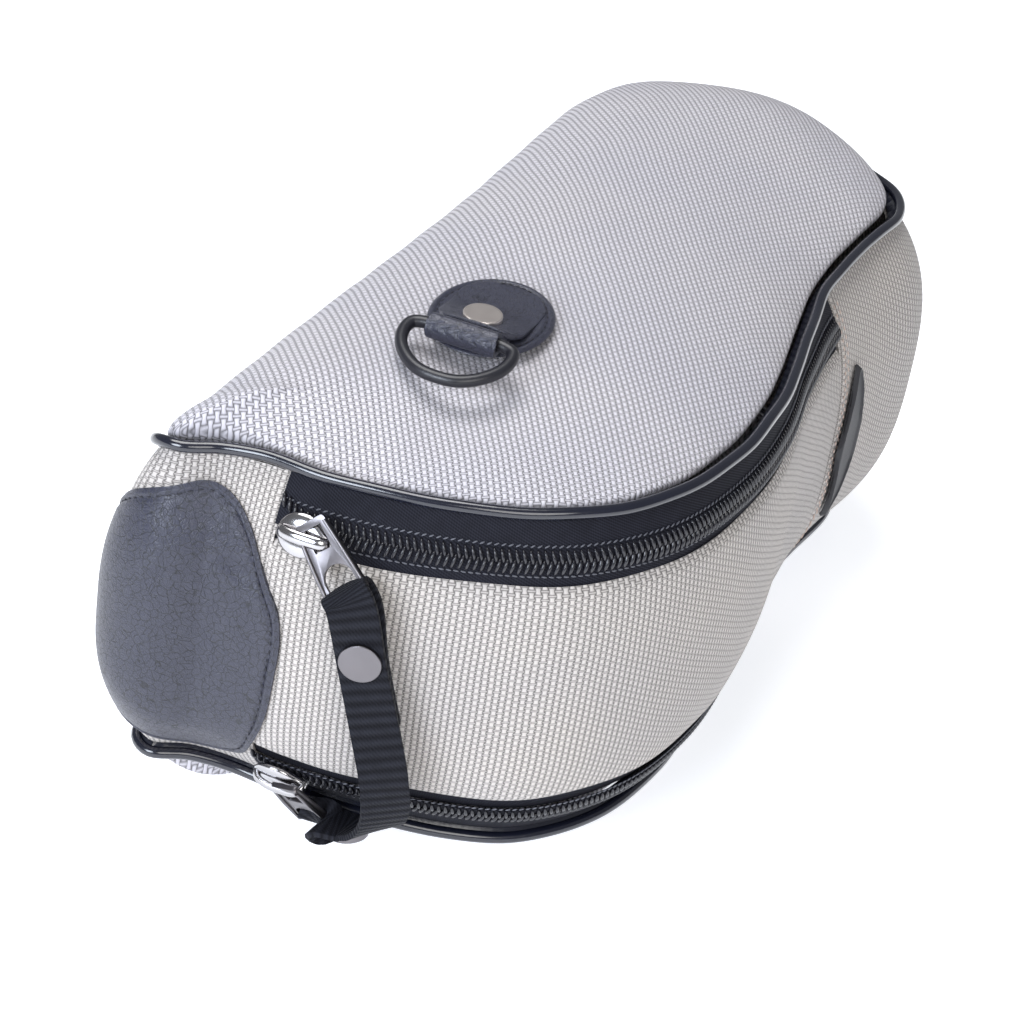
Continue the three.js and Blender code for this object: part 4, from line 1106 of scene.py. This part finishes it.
oval = laid_grid("blank_oval", 26, 60, oval_place)
walled(oval, 0.8, shading=60)
finished(oval, patch_rubber, "patch_rubber", "oval_patch")

LOOP_AT, LOOP_LENGTH, LOOP_WIDTH, LOOP_ROOM = 0.905, 62, 38, 8


def loop_place(u, v):
    near_end = np.minimum(u, 1 - u) / 0.1
    lift = 0.35 + (LOOP_ROOM - 0.35) * smooth_step(near_end - 1) + 1.8
    at = LOOP_AT + (u - 0.5) * LOOP_LENGTH / SEAM_ROUND
    return gusset_point(at, (v - 0.5) * LOOP_WIDTH, lift), u * LOOP_LENGTH, v * LOOP_WIDTH


loop = laid_grid("belt_loop_leather", 60, 20, loop_place)
walled(loop, 1.8, rounded=0.4)
finished(loop, tab_leather, "black_leather", "belt_loop")

# %% [markdown]
# ## Ring tabs
# On each side panel a leather oval holds a ring: the tab is sewn round its edge, a folded
# strip goes round the ring's bar, and a rivet holds all of it. The same pieces serve both
# sides, the lower ones turned over.


# %% Places on a tab
TAB_TURN = math.radians(4)
TAB_HALF = (17.0, 13.0)
BAR_PLACE = (-17, 5.25)


def tab_axes(side):
    low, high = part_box("ring_tab_upper" if side > 0 else "ring_tab_lower")
    face = low.z if side > 0 else high.z
    base = (np.array([(low.x + high.x) / 2, (low.y + high.y) / 2, face]) - middle) / MM
    x_axis = np.array([math.cos(TAB_TURN), math.sin(TAB_TURN), 0])
    z_axis = np.array([0, 0, float(side)])
    return base, x_axis, np.cross(z_axis, x_axis), z_axis


def on_tab(side, x, y, z):
    base, *axes = tab_axes(side)
    return base + sum(values[..., None] * axis for values, axis in zip(np.broadcast_arrays(x, y, z), axes))


# %% Oval base and top layer
def oval_leather(word, side):
    """The sewn oval: a disc with a soft rim and a groove that the stitches lie in."""
    def place(u, v):
        reach = np.sqrt(1 - (1 - v) ** 2)
        x, y = reach * TAB_HALF[0] * np.cos(u * math.tau), reach * TAB_HALF[1] * np.sin(u * math.tau)
        from_edge = (1 - reach) * 15
        groove = 0.4 * bell(from_edge - 1.9, 0.4)
        return on_tab(side, x, y, 0.9 + 0.8 * np.sqrt(np.clip(from_edge / 0.9, 0, 1)) - groove), x, y
    oval = laid_grid("tab_oval_" + word, 96, 28, place)
    close_seams(oval, (0, 0, side))
    walled(oval, 0.9, shading=60)
    finished(oval, tab_leather, "black_leather", "ring_tab_" + word)


def top_layer(word, side):
    """The layer over the strip's ends: cut straight near the bar, held down by the rivet."""
    def place(u, v):
        x = -11.8 + 25.0 * u
        half = np.minimum(10.8 * np.sqrt(np.clip(1 - (x / 14.9) ** 2, 0.0, 1)), 9.6)
        y = (2 * v - 1) * half
        rise = smooth_step((3 - x) / 13) * (1 - 0.55 * (np.abs(y) / 11) ** 2.5)
        dip = 0.5 * np.exp(-((x + 7) ** 2 + y ** 2) / 22)
        lip = 1.2 * smooth_step((-8.8 - x) / 3.0)
        return on_tab(side, x, y, 2.0 + 2.9 * rise - dip + lip), x, y
    layer = laid_grid("tab_layer_" + word, 40, 30, place)
    if side < 0:
        layer.data.flip_normals()
    walled(layer, 1.3, rounded=0.25)
    finished(layer, tab_leather, "black_leather")


# %% Folded strip and ring
def folded_strip(word, side):
    """A strip that comes from under the top layer, goes round the bar and back underneath."""
    around = np.radians(np.linspace(-95, -265, 12))
    eye = np.column_stack([np.cos(around), np.sin(around)]) * 2.3 + BAR_PLACE
    near, back = [(-5, 2.6), (-10, 2.6), (-14.5, 2.7)], [(-14.4, 5.8), (-12.2, 3.7), (-9.5, 3.2), (-5, 3.1)]
    path = smooth_line(np.vstack([near, eye, back]), False, 8)

    def place(u, v):
        x, z = read_line(path, u).T
        y = (v - 0.5) * 15 * (1 - 0.03 * np.sin(u * 9))
        wrinkle = 0.10 * np.sin(y * 2.1 + 3 * np.sin(u * 20)) * bell(u - 0.6, 0.12)
        return on_tab(side, x - wrinkle, y, z + wrinkle), y, u * 40
    strip = laid_grid("tab_strip_" + word, 90, 40, place)
    walled(strip, 1.1, offset=0, rounded=0.25)
    finished(strip, tab_leather, "black_leather", "ring_strip_" + word)


def ring(word, side):
    """The D-ring's wire: a straight bar, round corners and a wide bow."""
    half = [(0, 0), (0, 5), (0, 8.6), (-0.9, 11.0), (-3.2, 11.7), (-7.2, 10.9), (-11.1, 8.1), (-13.7, 4.2)]
    other = [(x, -y) for x, y in half[1:][::-1]]
    out, y = smooth_line(half + [(-14.3, 0)] + other, True, 8).T
    tilt = math.radians(12)
    places = on_tab(side, BAR_PLACE[0] + out * math.cos(tilt), y, BAR_PLACE[1] + out * math.sin(tilt))
    wire = tube("ring_" + word, places, 1.35, closed=True, sides=6)
    finished(wire, ring_paint, "ring_paint", "d_ring_" + word, body="ring_" + word)


def tab_stitches(word, side, count=44, half=(15.0, 11.2)):
    angle = np.linspace(0, math.tau, count, endpoint=False)
    cosine, sine = np.cos(angle), np.sin(angle)
    _, x_axis, y_axis, z_axis = tab_axes(side)
    along = unit(np.outer(-half[0] * sine, x_axis) + np.outer(half[1] * cosine, y_axis))
    up = np.tile(z_axis, (count, 1))
    centres = on_tab(side, half[0] * cosine, half[1] * sine, 1.42)
    thread = copies("tab_thread_" + word, stitch, centres, along, np.cross(up, along), up)
    finished(thread, black_thread, "black_leather")


for word, side in SIDES:
    oval_leather(word, side)
    top_layer(word, side)
    folded_strip(word, side)
    pressed_cap("tab_rivet_" + word, "rivet_" + word, on_tab(side, -6.4, 0.0, 4.35), (0, 0, side),
                RIVET_SIZE, pale_nickel)
    ring(word, side)
    tab_stitches(word, side)

# %% [markdown]
# ## Threads
# Two lines of sand thread hold the folded cloth at the waist, and dark thread holds the
# leather patch. Each stitch is a short bead that lies in the line.


# %% Stitched lines
def stitched(name, points, facing, finish, slot, pitch):
    """Copies the stitch along a line of points in millimetres, facing outwards."""
    steps = np.linalg.norm(np.diff(points, axis=0), axis=1)
    reached = np.concatenate([[0], np.cumsum(steps)])
    spots = (np.arange(int(reached[-1] / pitch)) + 0.5) * pitch
    centre, up = read_line(points, spots, reached), read_line(facing, spots, reached)
    along = unit(read_line(points, spots + 0.3, reached) - centre)
    side = unit(np.cross(up, along))
    finished(copies(name, stitch, centre, along, side, np.cross(along, side)), finish, slot)


heights = np.linspace(-EDGE_HEIGHT + 1.5, EDGE_HEIGHT - 1.5, 60)
for number, beyond in enumerate((1.4, 3.6)):
    at = np.full(60, WAIST + beyond / SEAM_ROUND)
    line, _, _, facing = gusset_axes(at, heights, 0.1)
    stitched(f"waist_thread_{number}", line, facing, sand_thread, "woven_cloth", 2.1)

turn = np.linspace(0, 1, 240)
_, edge = patch_spot(turn, np.ones(240))
inset = 1 - 1.7 / np.linalg.norm(edge - patch_centre, axis=-1)
spot, _ = patch_spot(turn, inset)
line, _, _, facing = gusset_axes(PATCH_MIDDLE + spot[:, 0] / SEAM_ROUND, spot[:, 1], 0.95)
stitched("patch_thread", line, facing, black_thread, "black_leather", 2.2)

# %% [markdown]
# ## The room
# A white table and white surroundings, with a large soft light above, one beyond the top end
# and one in front, give the even shadows and the pale shine on the black leather.

# %% Stage
floor = added(bpy.ops.mesh.primitive_plane_add, size=6, location=(0, 0, -0.0002))
floor.name = "floor"
table_top = Finish("white table", Roughness=0.6)
table_top.link("Base Color", table_top.mix(table_top.noise(table_top.place(), 0.004, 2.0),
                                           (0.90, 0.91, 0.93), (0.86, 0.87, 0.90)))
table_top.surface.inputs["Emission Color"].default_value = (0.95, 0.97, 1.0, 1)
table_top.surface.inputs["Emission Strength"].default_value = 0.62
floor.data.materials.append(table_top.material)


def soft_light(name, place, size, power, colour=(1, 1, 1)):
    data = bpy.data.lights.new(name, "AREA")
    data.shape = "DISK"
    data.size = size
    data.energy = power
    data.color = colour
    light = in_scene(name, data)
    light.location = place
    light.rotation_euler = (Vector((0, 0, 0.05)) - Vector(place)).to_track_quat("-Z", "Y").to_euler()


soft_light("top light", (0.00, 0.25, 1.0), 0.7, 8.0)
soft_light("end light", (-0.85, 0.15, 0.45), 0.45, 6.5, (0.82, 0.89, 1.0))
soft_light("front light", (-0.70, -0.60, 0.60), 0.6, 3.6, (1.0, 0.985, 0.96))
world = bpy.data.worlds.new("white room")
world.use_nodes = True
world.node_tree.nodes["Background"].inputs[0].default_value = (0.93, 0.95, 1.0, 1)
world.node_tree.nodes["Background"].inputs[1].default_value = 0.24
bpy.context.scene.world = world
bpy.context.scene.view_settings.view_transform = "Standard"

# %% The end
for pattern in (tooth, stitch):
    bpy.data.objects.remove(pattern)
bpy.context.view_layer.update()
